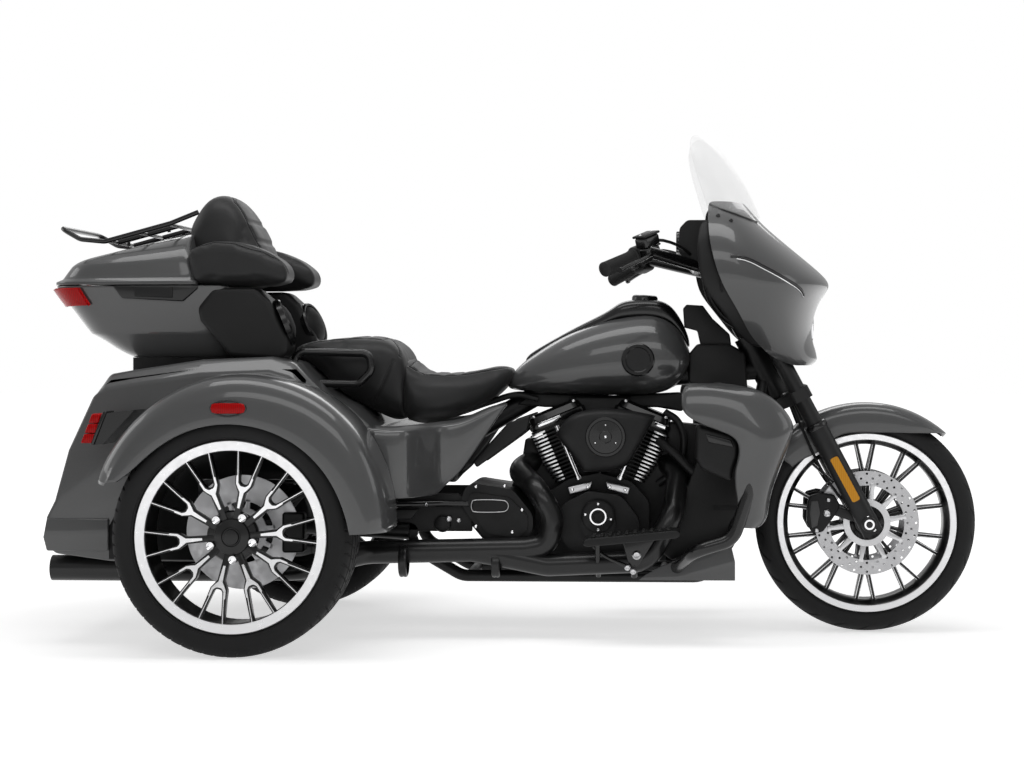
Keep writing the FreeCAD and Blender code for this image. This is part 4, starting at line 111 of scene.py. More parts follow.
def vary(surface, texture, low, high):
    """Moves the roughness between two shares of it."""
    rough = surface.inputs["Roughness"]
    spread = add(surface.id_data, "MapRange", From_Min=TEXTURE_LOW, From_Max=TEXTURE_HIGH,
                 To_Min=rough.default_value * low, To_Max=rough.default_value * high)
    wire(texture, spread.inputs["Value"])
    wire(spread.outputs["Result"], rough)


def tint(surface, texture, *colors):
    """Moves the base colour between a dark and a light colour."""
    ramp = add(surface.id_data, "ValToRGB")
    places = zip(ramp.color_ramp.elements, (TEXTURE_LOW, TEXTURE_HIGH), colors)
    for element, position, color in places:
        element.position, element.color = position, (*color, 1.0)
    wire(texture, ramp.inputs["Fac"])
    wire(ramp.outputs["Color"], surface.inputs["Base Color"])


def bump(surface, texture, strength, distance):
    node = add(surface.id_data, "Bump", Strength=strength, Distance=distance)
    wire(texture, node.inputs["Height"])
    wire(node.outputs["Normal"], surface.inputs["Normal"])


def shades(color, *shares):
    """A colour made darker or lighter by shares."""
    return [[channel * share for channel in color] for share in shares]


def paint(name, color, roughness=0.34, coat=0.8):
    surface = shader(name, color, roughness, Coat_Weight=coat, Coat_Roughness=0.06,
                     Specular_IOR_Level=0.35)
    tint(surface, noise(surface, 900.0, 1.0), *shades(color, 0.95, 1.05))
    bump(surface, noise(surface, 160.0, 2.0), 0.02, 0.0004)


def cast_metal(name, color, roughness, metallic=0.1, depth=0.12, coat=0.0):
    surface = shader(name, color, roughness, metallic, Coat_Weight=coat, Coat_Roughness=0.15,
                     Specular_IOR_Level=0.5 if metallic > 0.9 else 0.3)
    vary(surface, noise(surface, 18.0), 0.85, 1.2)
    bump(surface, noise(surface, 260.0, 6.0), depth, 0.0006)


def moulded(name, color, roughness=0.5):
    surface = shader(name, color, roughness, Specular_IOR_Level=0.3)
    vary(surface, noise(surface, 9.0), 0.9, 1.15)
    bump(surface, noise(surface, 520.0, 3.0), 0.10, 0.0004)


def leather(name, color, roughness=0.5):
    surface = shader(name, color, roughness, Sheen_Weight=0.1, Specular_IOR_Level=0.35)
    grain = add(surface.id_data, "TexVoronoi", Scale=420.0)
    wire(add(surface.id_data, "TexCoord").outputs["Object"], grain.inputs["Vector"])
    tint(surface, noise(surface, 6.0), *shades(color, 0.85, 1.15))
    vary(surface, noise(surface, 14.0), 0.88, 1.12)
    bump(surface, grain.outputs["Distance"], 0.16, 0.0005)


def rubber(name, color, roughness=0.72):
    surface = shader(name, color, roughness, Specular_IOR_Level=0.3)
    tint(surface, noise(surface, 7.0), *shades(color, 0.8, 1.25))
    bump(surface, noise(surface, 380.0, 5.0), 0.14, 0.0006)


def brushed(name, color, roughness, across=1.0):
    surface = shader(name, color, roughness, 1.0)
    lines = noise(surface, 60.0, 3.0, (1.0, across, 1.0))
    vary(surface, lines, 0.8, 1.25)
    bump(surface, lines, 0.05, 0.0003)


def lens(name, color, light):
    surface = shader(name, color, 0.25, Coat_Weight=0.1, Coat_Roughness=0.05,
                     Specular_IOR_Level=0.12)
    ribs = add(surface.id_data, "TexWave", Scale=55.0)
    wire(add(surface.id_data, "TexCoord").outputs["Object"], ribs.inputs["Vector"])
    tint(surface, ribs.outputs["Fac"], color, light)
    bump(surface, ribs.outputs["Fac"], 0.25, 0.0008)


def clear(name, color, alpha):
    surface = shader(name, color, 0.02, Transmission_Weight=0.0, Alpha=alpha, Coat_Weight=1.0)
    bump(surface, noise(surface, 4.0, 1.0), 0.01, 0.0005)


paint("body_paint", (0.092, 0.093, 0.094))
paint("gloss_black", (0.006, 0.006, 0.0063), 0.25, 0.3)
paint("wheel_black", (0.004, 0.004, 0.0042), 0.3, 0.15)
cast_metal("black_paint", (0.006, 0.006, 0.0063), 0.42, 0.0, depth=0.05)
cast_metal("exhaust_black", (0.010, 0.010, 0.0103), 0.36, depth=0.04, coat=0.3)
cast_metal("engine_black", (0.009, 0.009, 0.0093), 0.5)
cast_metal("engine_grey", (0.010, 0.010, 0.0103), 0.5)
cast_metal("fork_black", (0.022, 0.022, 0.0225), 0.4, depth=0.05)
cast_metal("radiator", (0.010, 0.010, 0.0103), 0.6, 0.3)
cast_metal("bright_cast", (0.62, 0.62, 0.63), 0.32, 1.0, depth=0.06)
cast_metal("caliper_grey", (0.085, 0.085, 0.086), 0.45, 0.2)
brushed("chrome", (0.80, 0.80, 0.81), 0.10)
brushed("machined", (0.86, 0.86, 0.87), 0.32, 8.0)
brushed("disc_steel", (0.50, 0.50, 0.51), 0.36, 30.0)
moulded("black_trim", (0.007, 0.007, 0.0072))
leather("seat_cover", (0.014, 0.014, 0.0144))
leather("thread", (0.03, 0.03, 0.031), 0.6)
rubber("grip_rubber", (0.016, 0.016, 0.016), 0.6)
rubber("tyre", (0.014, 0.014, 0.0144))
lens("red_lens", (0.50, 0.001, 0.002), (0.66, 0.002, 0.003))
lens("amber_lens", (0.95, 0.36, 0.02), (1.0, 0.50, 0.05))
clear("lamp_glass", (0.9, 0.92, 0.94), 0.3)
clear("windshield", (0.90, 0.91, 0.92), 0.09)
for node_name, node in frame["nodes"].items():
    node.data.materials.clear()
    node.data.materials.append(MATERIALS[SLOT_OF[node_name]])


# Makers of pieces, from sizes in millimetres
def make_object(name, data, material, body, node):
    """An object that rides on a body of the part, and may stand in for one of its nodes."""
    data.materials.append(MATERIALS[material])
    obj = bpy.data.objects.new(name, data)
    bpy.context.scene.collection.objects.link(obj)
    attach(obj, body)
    if node:
        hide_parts(node)
    return obj


def piece(name, verts, faces, material, body="chassis", node=None):
    """A smooth mesh piece."""
    mesh = bpy.data.meshes.new(name)
    mesh.from_pydata([tuple(v) for v in verts], [], faces)
    mesh.polygons.foreach_set("use_smooth", [True] * len(mesh.polygons))
    return make_object(name, mesh, material, body, node)


def face_out(obj, merge=False):
    """Turns all faces of a closed mesh outward."""
    work = bmesh.new()
    work.from_mesh(obj.data)
    if merge:
        bmesh.ops.remove_doubles(work, verts=work.verts, dist=1e-6)
    bmesh.ops.recalc_face_normals(work, faces=work.faces)
    work.to_mesh(obj.data)
    work.free()
    return obj


def subdivide(obj, levels=2):
    modifier = obj.modifiers.new("round", "SUBSURF")
    modifier.levels = modifier.render_levels = levels
    return obj


def soften(obj, width, segments=3, angle=28.0):
    """Rounds the edges of a plain cage."""
    modifier = obj.modifiers.new("edges", "BEVEL")
    modifier.width, modifier.segments = width * MM, segments
    modifier.limit_method, modifier.angle_limit = "ANGLE", math.radians(angle)
    return obj


def settle(obj):
    """Turns a piece's modifiers into its mesh."""
    bpy.context.view_layer.update()
    solved = obj.evaluated_get(bpy.context.evaluated_depsgraph_get())
    mesh = bpy.data.meshes.new_from_object(solved)
    obj.modifiers.clear()
    old, obj.data = obj.data, mesh
    bpy.data.meshes.remove(old)
    return obj


def carve(obj, cutter, operation="DIFFERENCE"):
    """Cuts a piece with a cutter that isn't kept."""
    modifier = obj.modifiers.new("carve", "BOOLEAN")
    modifier.object, modifier.operation, modifier.solver = cutter, operation, "EXACT"
    settle(obj)
    bpy.data.objects.remove(cutter)


def even_normals(obj, angle=35.0):
    """Smooth shading that keeps the sharp edges sharp."""
    obj.data.polygons.foreach_set("use_smooth", [True] * len(obj.data.polygons))
    obj.data.set_sharp_from_angle(angle=math.radians(angle))
    return obj


def ring_faces(count, rings, closed=True, caps=(True, True)):
    """Faces between rings of points, with caps on the first and the last."""
    faces = []
    for i in range(rings - 1):
        low, high = i * count, (i + 1) * count
        for j in range(count if closed else count - 1):
            k = (j + 1) % count
            faces.append((low + j, low + k, high + k, high + j))
    if caps[0]:
        faces.append(tuple(range(count - 1, -1, -1)))
    if caps[1]:
        faces.append(tuple((rings - 1) * count + j for j in range(count)))
    return faces


def add_plate(verts, faces, points, count):
    """Adds a plate, two rings of points, to a mesh in the making."""
    start = len(verts)
    verts += points
    faces += [tuple(start + k for k in face) for face in ring_faces(count, 2)]


def round_faces(count, rings):
    """Faces between open rings that go all the way round."""
    faces = []
    for i in range(rings):
        low, high = i * count, (i + 1) % rings * count
        faces += [(low + k, low + k + 1, high + k + 1, high + k) for k in range(count - 1)]
    return faces


def crease(obj, count, lines=(), rows=(), value=1.0):
    """Keeps an edge crisp along numbered points of every ring, and along numbered rings."""
    work = bmesh.new()
    work.from_mesh(obj.data)
    layers = work.edges.layers.float
    layer = layers.get("crease_edge") or layers.new("crease_edge")
    for edge in work.edges:
        a, b = (v.index for v in edge.verts)
        same_ring = a // count == b // count
        if (same_ring and a // count in rows
                or not same_ring and a % count == b % count and a % count in lines):
            edge[layer] = value
    work.to_mesh(obj.data)
    work.free()


def skin(name, rings, material, body="chassis", closed=True, caps=(True, True), lines=(), rows=(),
         value=1.0, wall=None, node=None):
    """A smooth skin through rings of equal length, with a wall of (thickness, offset)."""
    count = len(rings[0])
    faces = ring_faces(count, len(rings), closed, caps if closed else (False, False))
    obj = piece(name, [p for ring in rings for p in ring], faces, material, body, node)
    crease(obj, count, lines, rows, value)
    if closed:
        face_out(obj)
    subdivide(obj)
    if wall:
        modifier = obj.modifiers.new("wall", "SOLIDIFY")
        modifier.thickness, modifier.offset = wall[0] * MM, wall[1]
    return obj


def prism(name, outline, low, high, material, edge=0.0, segments=3, body="chassis", plane="xz",
          node=None):
    """A plate: an outline in one plane pulled square to it, with its edges rounded."""
    spot = {"xz": lambda a, b, c: at(a, c, b), "yz": lambda a, b, c: at(c, a, b)}[plane]
    verts = [spot(a, b, depth) for depth in (low, high) for a, b in outline]
    obj = face_out(piece(name, verts, ring_faces(len(outline), 2), material, body, node))
    return soften(obj, edge, segments) if edge else obj


def tube(name, points, radius, material, body="chassis", resolution=6, closed=False, round_steps=4,
         node=None):
    """A round tube or cable along a smooth line."""
    curve = bpy.data.curves.new(name, "CURVE")
    curve.dimensions = "3D"
    curve.bevel_depth, curve.bevel_resolution = radius * MM, round_steps
    curve.resolution_u = resolution
    curve.use_fill_caps = not closed
    spline = curve.splines.new("BEZIER")
    spline.bezier_points.add(len(points) - 1)
    spline.use_cyclic_u = closed
    for bezier, point in zip(spline.bezier_points, points):
        bezier.co = at(*point)
        bezier.handle_left_type = bezier.handle_right_type = "AUTO"
    return make_object(name, curve, material, body, node)


def circle(centre, radius, angles):
    """Points on a circle in the plane of its centre's two numbers, at angles in degrees."""
    return [(centre[0] + radius * math.cos(math.radians(a)),
             centre[1] + radius * math.sin(math.radians(a))) for a in angles]


def lathe(name, profile, centre, material, body="chassis", axis="y", steps=96, closed=False,
          scale=1.0, node=None):
    """A turned piece: (radius, along) pairs spun about an axis, a letter or a direction."""
    spin = {"y": lambda c, a, s: (c, a, s), "x": lambda c, a, s: (a, c, s)}
    if axis in spin:
        turn = Matrix()
    else:
        turn = Vector(axis).to_track_quat("Z", "Y").to_matrix().to_4x4() @ Matrix.Scale(scale, 4)
    order = spin.get(axis, lambda c, a, s: (c, s, a))
    profile = profile + profile[:1] if closed else profile
    verts = []
    for i in range(steps):
        angle = 2 * math.pi * i / steps
        verts += [Vector(order(radius * math.cos(angle), step, radius * math.sin(angle))) * MM
                  for radius, step in profile]
    obj = piece(name, verts, round_faces(len(profile), steps), material, body, node)
    obj.data.transform(Matrix.Translation(at(*centre)) @ turn)
    return even_normals(face_out(obj, merge=True))


def outward(profile, side):
    """A profile of the left side, or its mirror image."""
    return [(radius, side * step) for radius, step in profile]


def bolt(name, spot, direction, radius, body="chassis", material="chrome"):
    """A domed bolt head with a recess, standing on a surface."""
    return lathe(name, [(0, 0.35), (0.42, 0.35), (0.42, 0.75), (0.66, 0.82), (0.94, 0.55),
                        (1.0, 0.2), (1.0, -0.3), (0, -0.3)], spot, material, body, direction, 20,
                 scale=radius)


def sided(name, word):
    """A name that ends in _ takes the side's word."""
    return name + word if name.endswith("_") else name


def prisms(name, outline, low, high, *rest, **more):
    """The same plate on both sides."""
    for side, word in SIDES:
        prism(sided(name, word), outline, side * low, side * high, *rest, **more)


def tubes(name, points, *rest, **more):
    """A tube on the left and its mirror image on the right."""
    for side, word in SIDES:
        tube(sided(name, word), [(x, side * y, z) for x, y, z in points], *rest, **more)


def bolts(name, spots, body="chassis", material="bright_cast"):
    """Bolts that face outward on both sides, at (x, y, z, radius)."""
    for side, word in SIDES:
        for x, y, z, radius in spots:
            bolt(sided(name, word), (x, side * y, z), (0, side, 0), radius, body, material)


# Tyres: (across, radius, sipe) shares of a half profile, and columns of a tread pitch
GROOVE = 0.982
REAR_PROFILE = [
    (0.0, 1.0, 0), (0.055, 1.0, 0), (0.065, GROOVE, 0), (0.10, GROOVE, 0), (0.11, 1.0, 0),
    (0.16, 1.0, 1), (0.22, 0.999, 1), (0.27, 0.998, 0), (0.28, GROOVE, 0),
    (0.315, GROOVE - 0.001, 0), (0.325, 0.996, 0), (0.37, 0.993, 1), (0.42, 0.984, 1),
    (0.455, 0.970, 1), (0.478, 0.951, 0), (0.49, 0.938, 0), (0.494, 0.926, 0), (0.498, 0.920, 0),
    (0.5, 0.90, 0), (0.497, 0.87, 0), (0.488, 0.845, 0), (0.47, 0.826, 0), (0.455, 0.822, 0),
    (0.452, 0.812, 0), (0.43, 0.806, 0), (0.40, 0.803, 0)]
FRONT_PROFILE = [
    (0.0, 1.0, 0), (0.05, 0.9995, 0), (0.12, 0.997, 1), (0.18, 0.993, 1), (0.24, 0.986, 1),
    (0.30, 0.976, 1), (0.36, 0.962, 1), (0.41, 0.946, 1), (0.445, 0.930, 0), (0.47, 0.915, 0),
    (0.485, 0.90, 0), (0.49, 0.892, 0), (0.497, 0.886, 0), (0.5, 0.87, 0), (0.492, 0.848, 0),
    (0.475, 0.832, 0), (0.46, 0.828, 0), (0.457, 0.820, 0), (0.44, 0.816, 0), (0.42, 0.814, 0)]
SIPE_COLUMNS = [(0.0, 0), (0.30, 0), (0.58, 0), (0.64, 1), (0.76, 1), (0.82, 0)]
DIAGONAL_COLUMNS = [(0.0, 0), (0.22, 0), (0.45, 0), (0.62, 0), (0.66, 1), (0.76, 1), (0.80, 0)]


def tyre(name, node, body, centre, profile, pitches, columns, slant, depth):
    """A tyre whose tread blocks follow slanted columns."""
    low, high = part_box(node)
    rows = [(-across, share, sipe) for across, share, sipe in reversed(profile)] + profile[1:]
    verts = []
    for pitch in range(pitches):
        for offset, deep in columns:
            for across, share, sipe in rows:
                radius = centre[2] * share - depth * sipe * deep
                angle = 2 * math.pi * (pitch + offset) / pitches
                angle += math.radians(slant) * abs(across) * 2
                verts.append(at(centre[0] + radius * math.cos(angle),
                                centre[1] + across * (high.y - low.y) / MM,
                                centre[2] + radius * math.sin(angle)))
    faces = round_faces(len(rows), pitches * len(columns))
    even_normals(face_out(piece(name, verts, faces, "tyre", body, node)), 30.0)


FRONT_CENTRE = (WHEELBASE, 0.0, FRONT_WHEEL_Z)
for side, word in SIDES:
    tyre("rear_tread_" + word, "rear_tyre_" + word, "rear_wheel_" + word,
         (0.0, side * HALF_TRACK, WHEEL_Z), REAR_PROFILE, 64, SIPE_COLUMNS, 6.0, 5.0)
tyre("front_tread", "front_tyre", "front_wheel", FRONT_CENTRE, FRONT_PROFILE, 26,
     DIAGONAL_COLUMNS, 14.0, 4.0)

# Rear fenders: the outer edge and the wheel cut as (angle, radius) about the axle
FENDER_OUTER = [
    (158, 390), (152, 397), (140, 404), (127, 411), (113, 420), (100, 428), (88, 433), (76, 436),
    (63, 440), (51, 441), (37, 439), (22, 427), (9.5, 418), (2, 413)]
FENDER_CUT = [
    (153.5, 332), (146, 312), (135, 307), (121, 305), (108, 304), (96, 303), (84, 303), (72, 304),
    (60, 306), (48, 309), (34, 312), (21, 314), (9, 319), (2, 322)]
FENDER_OUT_Y, FENDER_IN_Y = 693.0, 418.0
for side, word in SIDES:
    rings = []
    for (outer_angle, outer), (cut_angle, cut) in zip(FENDER_OUTER, FENDER_CUT):
        section = ((1.0, cut + 8, 676), (1.0, cut, 684), (1.0, cut + 1, FENDER_OUT_Y),
                   (0.82, cut + 10, FENDER_OUT_Y + 1.5),
                   (0.45, lerp(cut, outer, 0.52), FENDER_OUT_Y),
                   (0.06, outer - 34, FENDER_OUT_Y - 9), (0.0, outer - 13, FENDER_OUT_Y - 24),
                   (0.0, outer + 1, FENDER_OUT_Y - 48), (0.0, outer + 5, FENDER_OUT_Y - 100),
                   (0.0, outer + 5, 520), (0.0, outer + 2, FENDER_IN_Y),
                   (0.0, outer - 6, FENDER_IN_Y), (0.0, outer - 6, 600), (0.0, outer - 14, 662))
        ring = []
        for share, radius, y in section:
            (x, z), = circle((0, WHEEL_Z), radius, [lerp(outer_angle, cut_angle, share)])
            ring.append(at(x, side * y, z))
        rings.append(ring)
    skin("rear_fender_" + word, rings, "body_paint", lines=(1, 2, 10, 11), rows=(0, 13),
         node="rear_fenders")
MARKER_X, MARKER_Z = 2, 667
MARKER_RIM = ((-0.75, -1), (0.75, -1), (1, 0), (0.75, 1), (-0.75, 1), (-1, 0))
tubes("side_marker_rim_", [(MARKER_X + 47 * c, FENDER_OUT_Y + 2, MARKER_Z + 13 * s)
                           for c, s in MARKER_RIM], 2.2, "gloss_black", closed=True)
prisms("side_marker_", [(-45, 667), (-42, 656), (-34, 653), (38, 653), (46, 656), (49, 667),
                        (46, 678), (38, 681), (-34, 681), (-42, 678)],
       FENDER_OUT_Y - 6, FENDER_OUT_Y + 5, "red_lens", 3.0)

# Rear body: its outline, shoulders lowered at the sides, hollowed and cut for the trunk door
BODY_OUTLINE = [
    (-391, 233), (-546, 254), (-569, 282), (-574, 312), (-566, 330), (-572, 350), (-546, 401),
    (-507, 542), (-436, 695), (-401, 753), (-332, 765), (-138, 794), (55, 802), (119, 784),
    (203, 699), (275, 662), (337, 605), (413, 597), (413, 517), (215, 461), (-142, 461),
    (-142, 233)]
TRUNK_OUTLINE = [
    (-524, 262), (-545, 322), (-529, 388), (-489, 540), (-426, 706), (-391, 737), (-153, 767),
    (127, 767), (155, 737), (155, 474), (-167, 474), (-167, 262)]
BODY_HALF, BODY_TOP_HALF, HOLLOW_HALF = 416.0, 372.0, 400.0
SHOULDER_REAR, SHOULDER_FRONT, SHOULDER_LOW, SHOULDER_DROP = -436, 300, 660, 40.0
DOOR_HALF, DOOR_LOW, DOOR_HIGH, DOOR_CORNER, SEAM_GAP = 300.0, 356.0, 668.0, 34.0, 5.0


def door_plug(gap):
    """A block with the trunk door's outline, its corners cut in three, wider by a gap."""
    points = []
    for away, up in ((1, 1), (-1, 1), (-1, -1), (1, -1)):
        y, z = -away * (DOOR_HALF + gap), DOOR_LOW - gap if up > 0 else DOOR_HIGH + gap
        corner = [(y + away * DOOR_CORNER * a, z + up * DOOR_CORNER * b)
                  for a, b in ((0, 1), (0.3, 0.3), (1, 0))]
        points += corner if away == up else corner[::-1]
    return prism("plug", points, -700, -380, "black_trim", plane="yz")


low_outline = [(x, z - SHOULDER_DROP) if SHOULDER_REAR < x < SHOULDER_FRONT and z > SHOULDER_LOW
               else (x, z) for x, z in BODY_OUTLINE]
rings = [[at(x, y, z) for x, z in outline] for y, outline in (
    (-BODY_HALF, low_outline), (-BODY_TOP_HALF, BODY_OUTLINE), (BODY_TOP_HALF, BODY_OUTLINE),
    (BODY_HALF, low_outline))]
body = face_out(piece("rear_body_shell", [p for ring in rings for p in ring],
                      ring_faces(len(BODY_OUTLINE), 4), "body_paint"))
settle(soften(body, 16.0, 5, 20.0))
carve(body, prism("hollow", TRUNK_OUTLINE, -HOLLOW_HALF, HOLLOW_HALF, "black_trim"))
door = body.copy()
door.data = body.data.copy()
door.name = "trunk_door_panel"
bpy.context.scene.collection.objects.link(door)
carve(body, door_plug(SEAM_GAP))
carve(door, door_plug(0.0), "INTERSECT")
door.parent = None
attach(door, "trunk_door")
for obj, node in ((body, "rear_body"), (door, "trunk_door")):
    even_normals(obj)
    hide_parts(node)
# A black sheet over the painted body side inside the wheel arch: painted shade, so the body seen through the
# spokes is dark.
ARCH_SHADE_SHEET = [(-391, 240), (-140, 240), (-140, 463), (215, 463)]
ARCH_SHADE_SHEET += circle((0, WHEEL_Z), 318, [30 + 123 / 19 * i for i in range(20)])
ARCH_SHADE_SHEET += [(-340, 430), (-391, 330)]
prisms("wheel_house_shade_", ARCH_SHADE_SHEET, BODY_HALF + 0.5, BODY_HALF + 3.0, "black_trim")
prisms("valance_", [(-566, 262), (-576, 300), (-566, 352), (-391, 352), (-391, 262)],
       BODY_HALF - 2, BODY_HALF + 7, "body_paint", 5.0, 4)
prisms("chin_side_", [(1076, 166), (1096, 182), (1140, 206), (1236, 242), (1290, 262),
                      (1340, 262), (1350, 220), (1350, 166)], 211, 214, "body_paint", 1.4, 2)

# Tank and console: stations along the trike as (x, low, high, half width)
TANK_STATIONS = [
    (690, 709, 721, 22), (699, 704, 746, 50), (726, 700, 779, 82), (780, 694, 819, 110),
    (866, 688, 872, 136), (971, 686, 909, 153), (1060, 686, 927, 160), (1120, 689, 929, 160),
    (1170, 702, 907, 150), (1205, 733, 867, 122), (1221, 768, 826, 80), (1225, 790, 806, 34)]
CONSOLE_STATIONS = [
    (737, 770, 800, 14), (800, 810, 838, 26), (895, 860, 891, 38), (981, 896, 931, 48),
    (1010, 905, 955, 58), (1035, 908, 966, 62), (1095, 912, 971, 64), (1148, 905, 966, 60),
    (1180, 885, 940, 50), (1208, 850, 892, 38), (1224, 820, 848, 24)]
SECTION_POINTS = 20


def round_ring(x, low, high, half, power=0.8, widest=0.42):
    """A rounded section across the trike, widest part way up."""
    middle = lerp(low, high, widest)
    ring = []
    for i in range(SECTION_POINTS):
        angle = 2 * math.pi * (i + 0.5) / SECTION_POINTS
        c, s = math.cos(angle), math.sin(angle)
        rise = high - middle if s > 0 else middle - low
        ring.append(at(x, half * math.copysign(abs(c) ** power, c),
                       middle + rise * math.copysign(abs(s) ** power, s)))
    return ring


def sausage(name, stations, material, power=0.8, widest=0.42, node=None):
    """A rounded body through stations."""
    return skin(name, [round_ring(*station, power, widest) for station in stations], material,
                node=node)


sausage("tank_shell", TANK_STATIONS, "body_paint", node="fuel_tank")
sausage("console_shell", CONSOLE_STATIONS, "gloss_black", 0.6, node="tank_console")
for side in (-1, 1):
    lathe("tank_badge", [(0, 5), (34, 4.5), (36, 6.5), (44, 6.5), (47, 4), (48, 0), (0, 0)],
          (1074, side * 158, 792), "gloss_black", axis=(0.03, side, 0.06), steps=64)
lathe("filler_cap", [(0, 8), (30, 7), (35, 5), (38, 0), (38, -14), (0, -14)], (1092, 0, 974),
      "gloss_black", axis=(0.05, 0, 1), steps=64)

# Front fender: (angle, crown radius, edge radius) about the front axle, narrowing to its tip
FENDER_STATIONS = [
    (143, 345, 268), (136, 347, 262), (128, 348, 250), (121, 348, 246), (115, 349, 258),
    (108, 349, 268), (100, 349, 264), (92, 349, 262), (84, 349, 263), (76, 350, 270),
    (68, 350, 281), (61, 350, 297), (54, 350, 321), (50, 350, 337), (47.6, 350, 347)]
TIP_WIDTHS = [1.0] * (len(FENDER_STATIONS) - 3) + [0.92, 0.72, 0.3]
rings = []
for (angle, crown, edge), width in zip(FENDER_STATIONS, TIP_WIDTHS):
    c, s = math.cos(math.radians(angle)), math.sin(math.radians(angle))
    middle = lerp(edge, crown, 0.5)
    outer = [(edge, 79), (middle, 80), (crown - 18, 76), (crown - 5, 60), (crown - 1, 32)]
    inner = [(crown - 5, 32), (crown - 9, 57), (crown - 22, 72), (middle, 76), (edge, 75)]
    loop = [(r, -y) for r, y in outer] + [(crown, 0)] + outer[::-1]
    loop += inner[::-1] + [(crown - 4, 0)] + [(r, -y) for r, y in inner]
    rings.append([at(WHEELBASE + r * c, y * width, FRONT_WHEEL_Z + r * s) for r, y in loop])
skin("front_fender_shell", rings, "body_paint", "steering", lines=(0, 10, 11, 21), rows=(0, 14),
     node="front_fender")

# Fairing and windshield: levels as (height, half width, edge x, nose x, fullness)
FAIRING_LEVELS = [
    (1246, 168, 1275, 1385, 0.70), (1215, 258, 1273, 1412, 0.74), (1183, 312, 1272, 1440, 0.78),
    (1140, 350, 1274, 1490, 0.80), (1095, 370, 1281, 1545, 0.80), (1050, 374, 1293, 1600, 0.78),
    (1020, 372, 1304, 1630, 0.76), (1000, 368, 1313, 1632, 0.76), (975, 360, 1326, 1612, 0.78),
    (945, 346, 1345, 1598, 0.80), (905, 318, 1368, 1588, 0.80), (865, 282, 1388, 1584, 0.80),
    (830, 240, 1420, 1588, 0.78), (800, 200, 1455, 1597, 0.76), (785, 172, 1490, 1595, 0.74),
    (776, 150, 1520, 1580, 0.72)]
SHIELD_LEVELS = [
    (1205, 250, 1275, 1432), (1250, 252, 1262, 1412), (1300, 246, 1246, 1388),
    (1350, 232, 1232, 1354), (1395, 208, 1222, 1322), (1425, 172, 1222, 1292),
    (1440, 130, 1232, 1274), (1446, 90, 1243, 1266)]
FAIRING_STEPS = 11


def bow(z, half, edge, nose, full=0.9):
    """A level from its right edge round the nose to its left edge."""
    points = []
    for i in range(FAIRING_STEPS * 2 + 1):
        t = i / FAIRING_STEPS - 1.0
        angle = (1 - abs(t)) * math.pi / 2
        x = edge + (nose - edge) * math.sin(angle) ** full
        y = half * math.copysign(math.cos(angle) ** (2 - full) if abs(t) > 1e-9 else 0.0, t)
        points.append(at(x, y, z))
    return points


fairing = skin("fairing_shell", [bow(*level) for level in FAIRING_LEVELS], "body_paint",
               "steering", closed=False, rows=(0, 15), wall=(4.0, 1.0), node="fairing")
skin("windshield_pane", [bow(*level) for level in SHIELD_LEVELS], "windshield", "steering",
     closed=False, wall=(4.0, -1.0), node="windshield")

# Lower fairings: levels as (height, rear x, leading x, outer y, inner y)
LEG_LEVELS = [
    (724, 1222, 1310, 352, 300), (715, 1205, 1380, 372, 268), (697, 1198, 1432, 384, 232),
    (668, 1197, 1466, 392, 205), (640, 1205, 1490, 396, 190), (612, 1262, 1505, 398, 180),
    (590, 1338, 1504, 398, 176), (560, 1358, 1494, 397, 174), (525, 1355, 1480, 394, 176),
    (489, 1344, 1466, 390, 182), (450, 1346, 1451, 384, 194), (413, 1352, 1439, 378, 208),
    (372, 1356, 1434, 372, 226), (345, 1358, 1428, 366, 244), (330, 1362, 1408, 360, 262)]
for side, word in SIDES:
    rings = []
    for z, rear, lead, out_y, in_y in LEG_LEVELS:
        width, depth = lead - rear, out_y - in_y
        section = [(rear, out_y - 6), (rear + width * 0.25, out_y + 2),
                   (rear + width * 0.55, out_y + 2), (rear + width * 0.80, out_y - 14),
                   (lead - 6, out_y - depth * 0.18), (lead + 2, out_y - depth * 0.36),
                   (lead - 2, out_y - depth * 0.62), (lead - 16, in_y + depth * 0.14),
                   (lead - 30, in_y)]
        rings.append([at(x, side * y, z) for x, y in section])
    skin("lower_fairing_" + word, rings, "body_paint", closed=False, rows=(0, 14),
         wall=(5.0, side), node="lower_fairings")

# Luggage box (height, rear, front, half width, corner) and lid (two heights, then the same)
BOX_LEVELS = [
    (799, -380, -96, 214, 60), (801, -392, -92, 226, 66), (822, -434, -90, 244, 80),
    (848, -468, -89, 258, 88), (868, -507, -88, 268, 92), (905, -534, -88, 279, 96),
    (941, -560, -88, 288, 100), (985, -592, -88, 295, 102), (1002, -603, -88, 297, 102)]
LID_LEVELS = [
    (1006, 1006, -605, -172, 298, 104), (1014, 1016, -605, -172, 298, 104),
    (1018, 1022, -598, -176, 292, 102), (1022, 1030, -588, -180, 287, 100),
    (1058, 1076, -562, -194, 279, 94), (1078, 1106, -540, -203, 262, 88),
    (1094, 1136, -478, -209, 222, 80), (1110, 1154, -426, -214, 172, 66),
    (1138, 1164, -345, -218, 104, 44)]
CORNER_STEPS = 4
BOX_FRONT_CORNER, LID_FRONT_CORNER = 30, 24
QUARTERS = ((1, -1, -90), (1, 1, 0), (-1, 1, 90), (-1, -1, 180))
CORNER_TURNS = [90.0 * i / CORNER_STEPS for i in range(CORNER_STEPS + 1)]


def tray_ring(z_rear, z_front, rear, front, half, rear_corner, front_corner):
    """A rounded rectangle seen from above, its height sloping from the rear to the front."""
    spots = []
    for ahead, out, start in QUARTERS:
        radius = front_corner if ahead > 0 else rear_corner
        x = front - radius if ahead > 0 else rear + radius
        spots += circle((x, out * (half - radius)), radius, [start + a for a in CORNER_TURNS])
    return [at(x, y, lerp(z_rear, z_front, (x - rear) / (front - rear))) for x, y in spots]


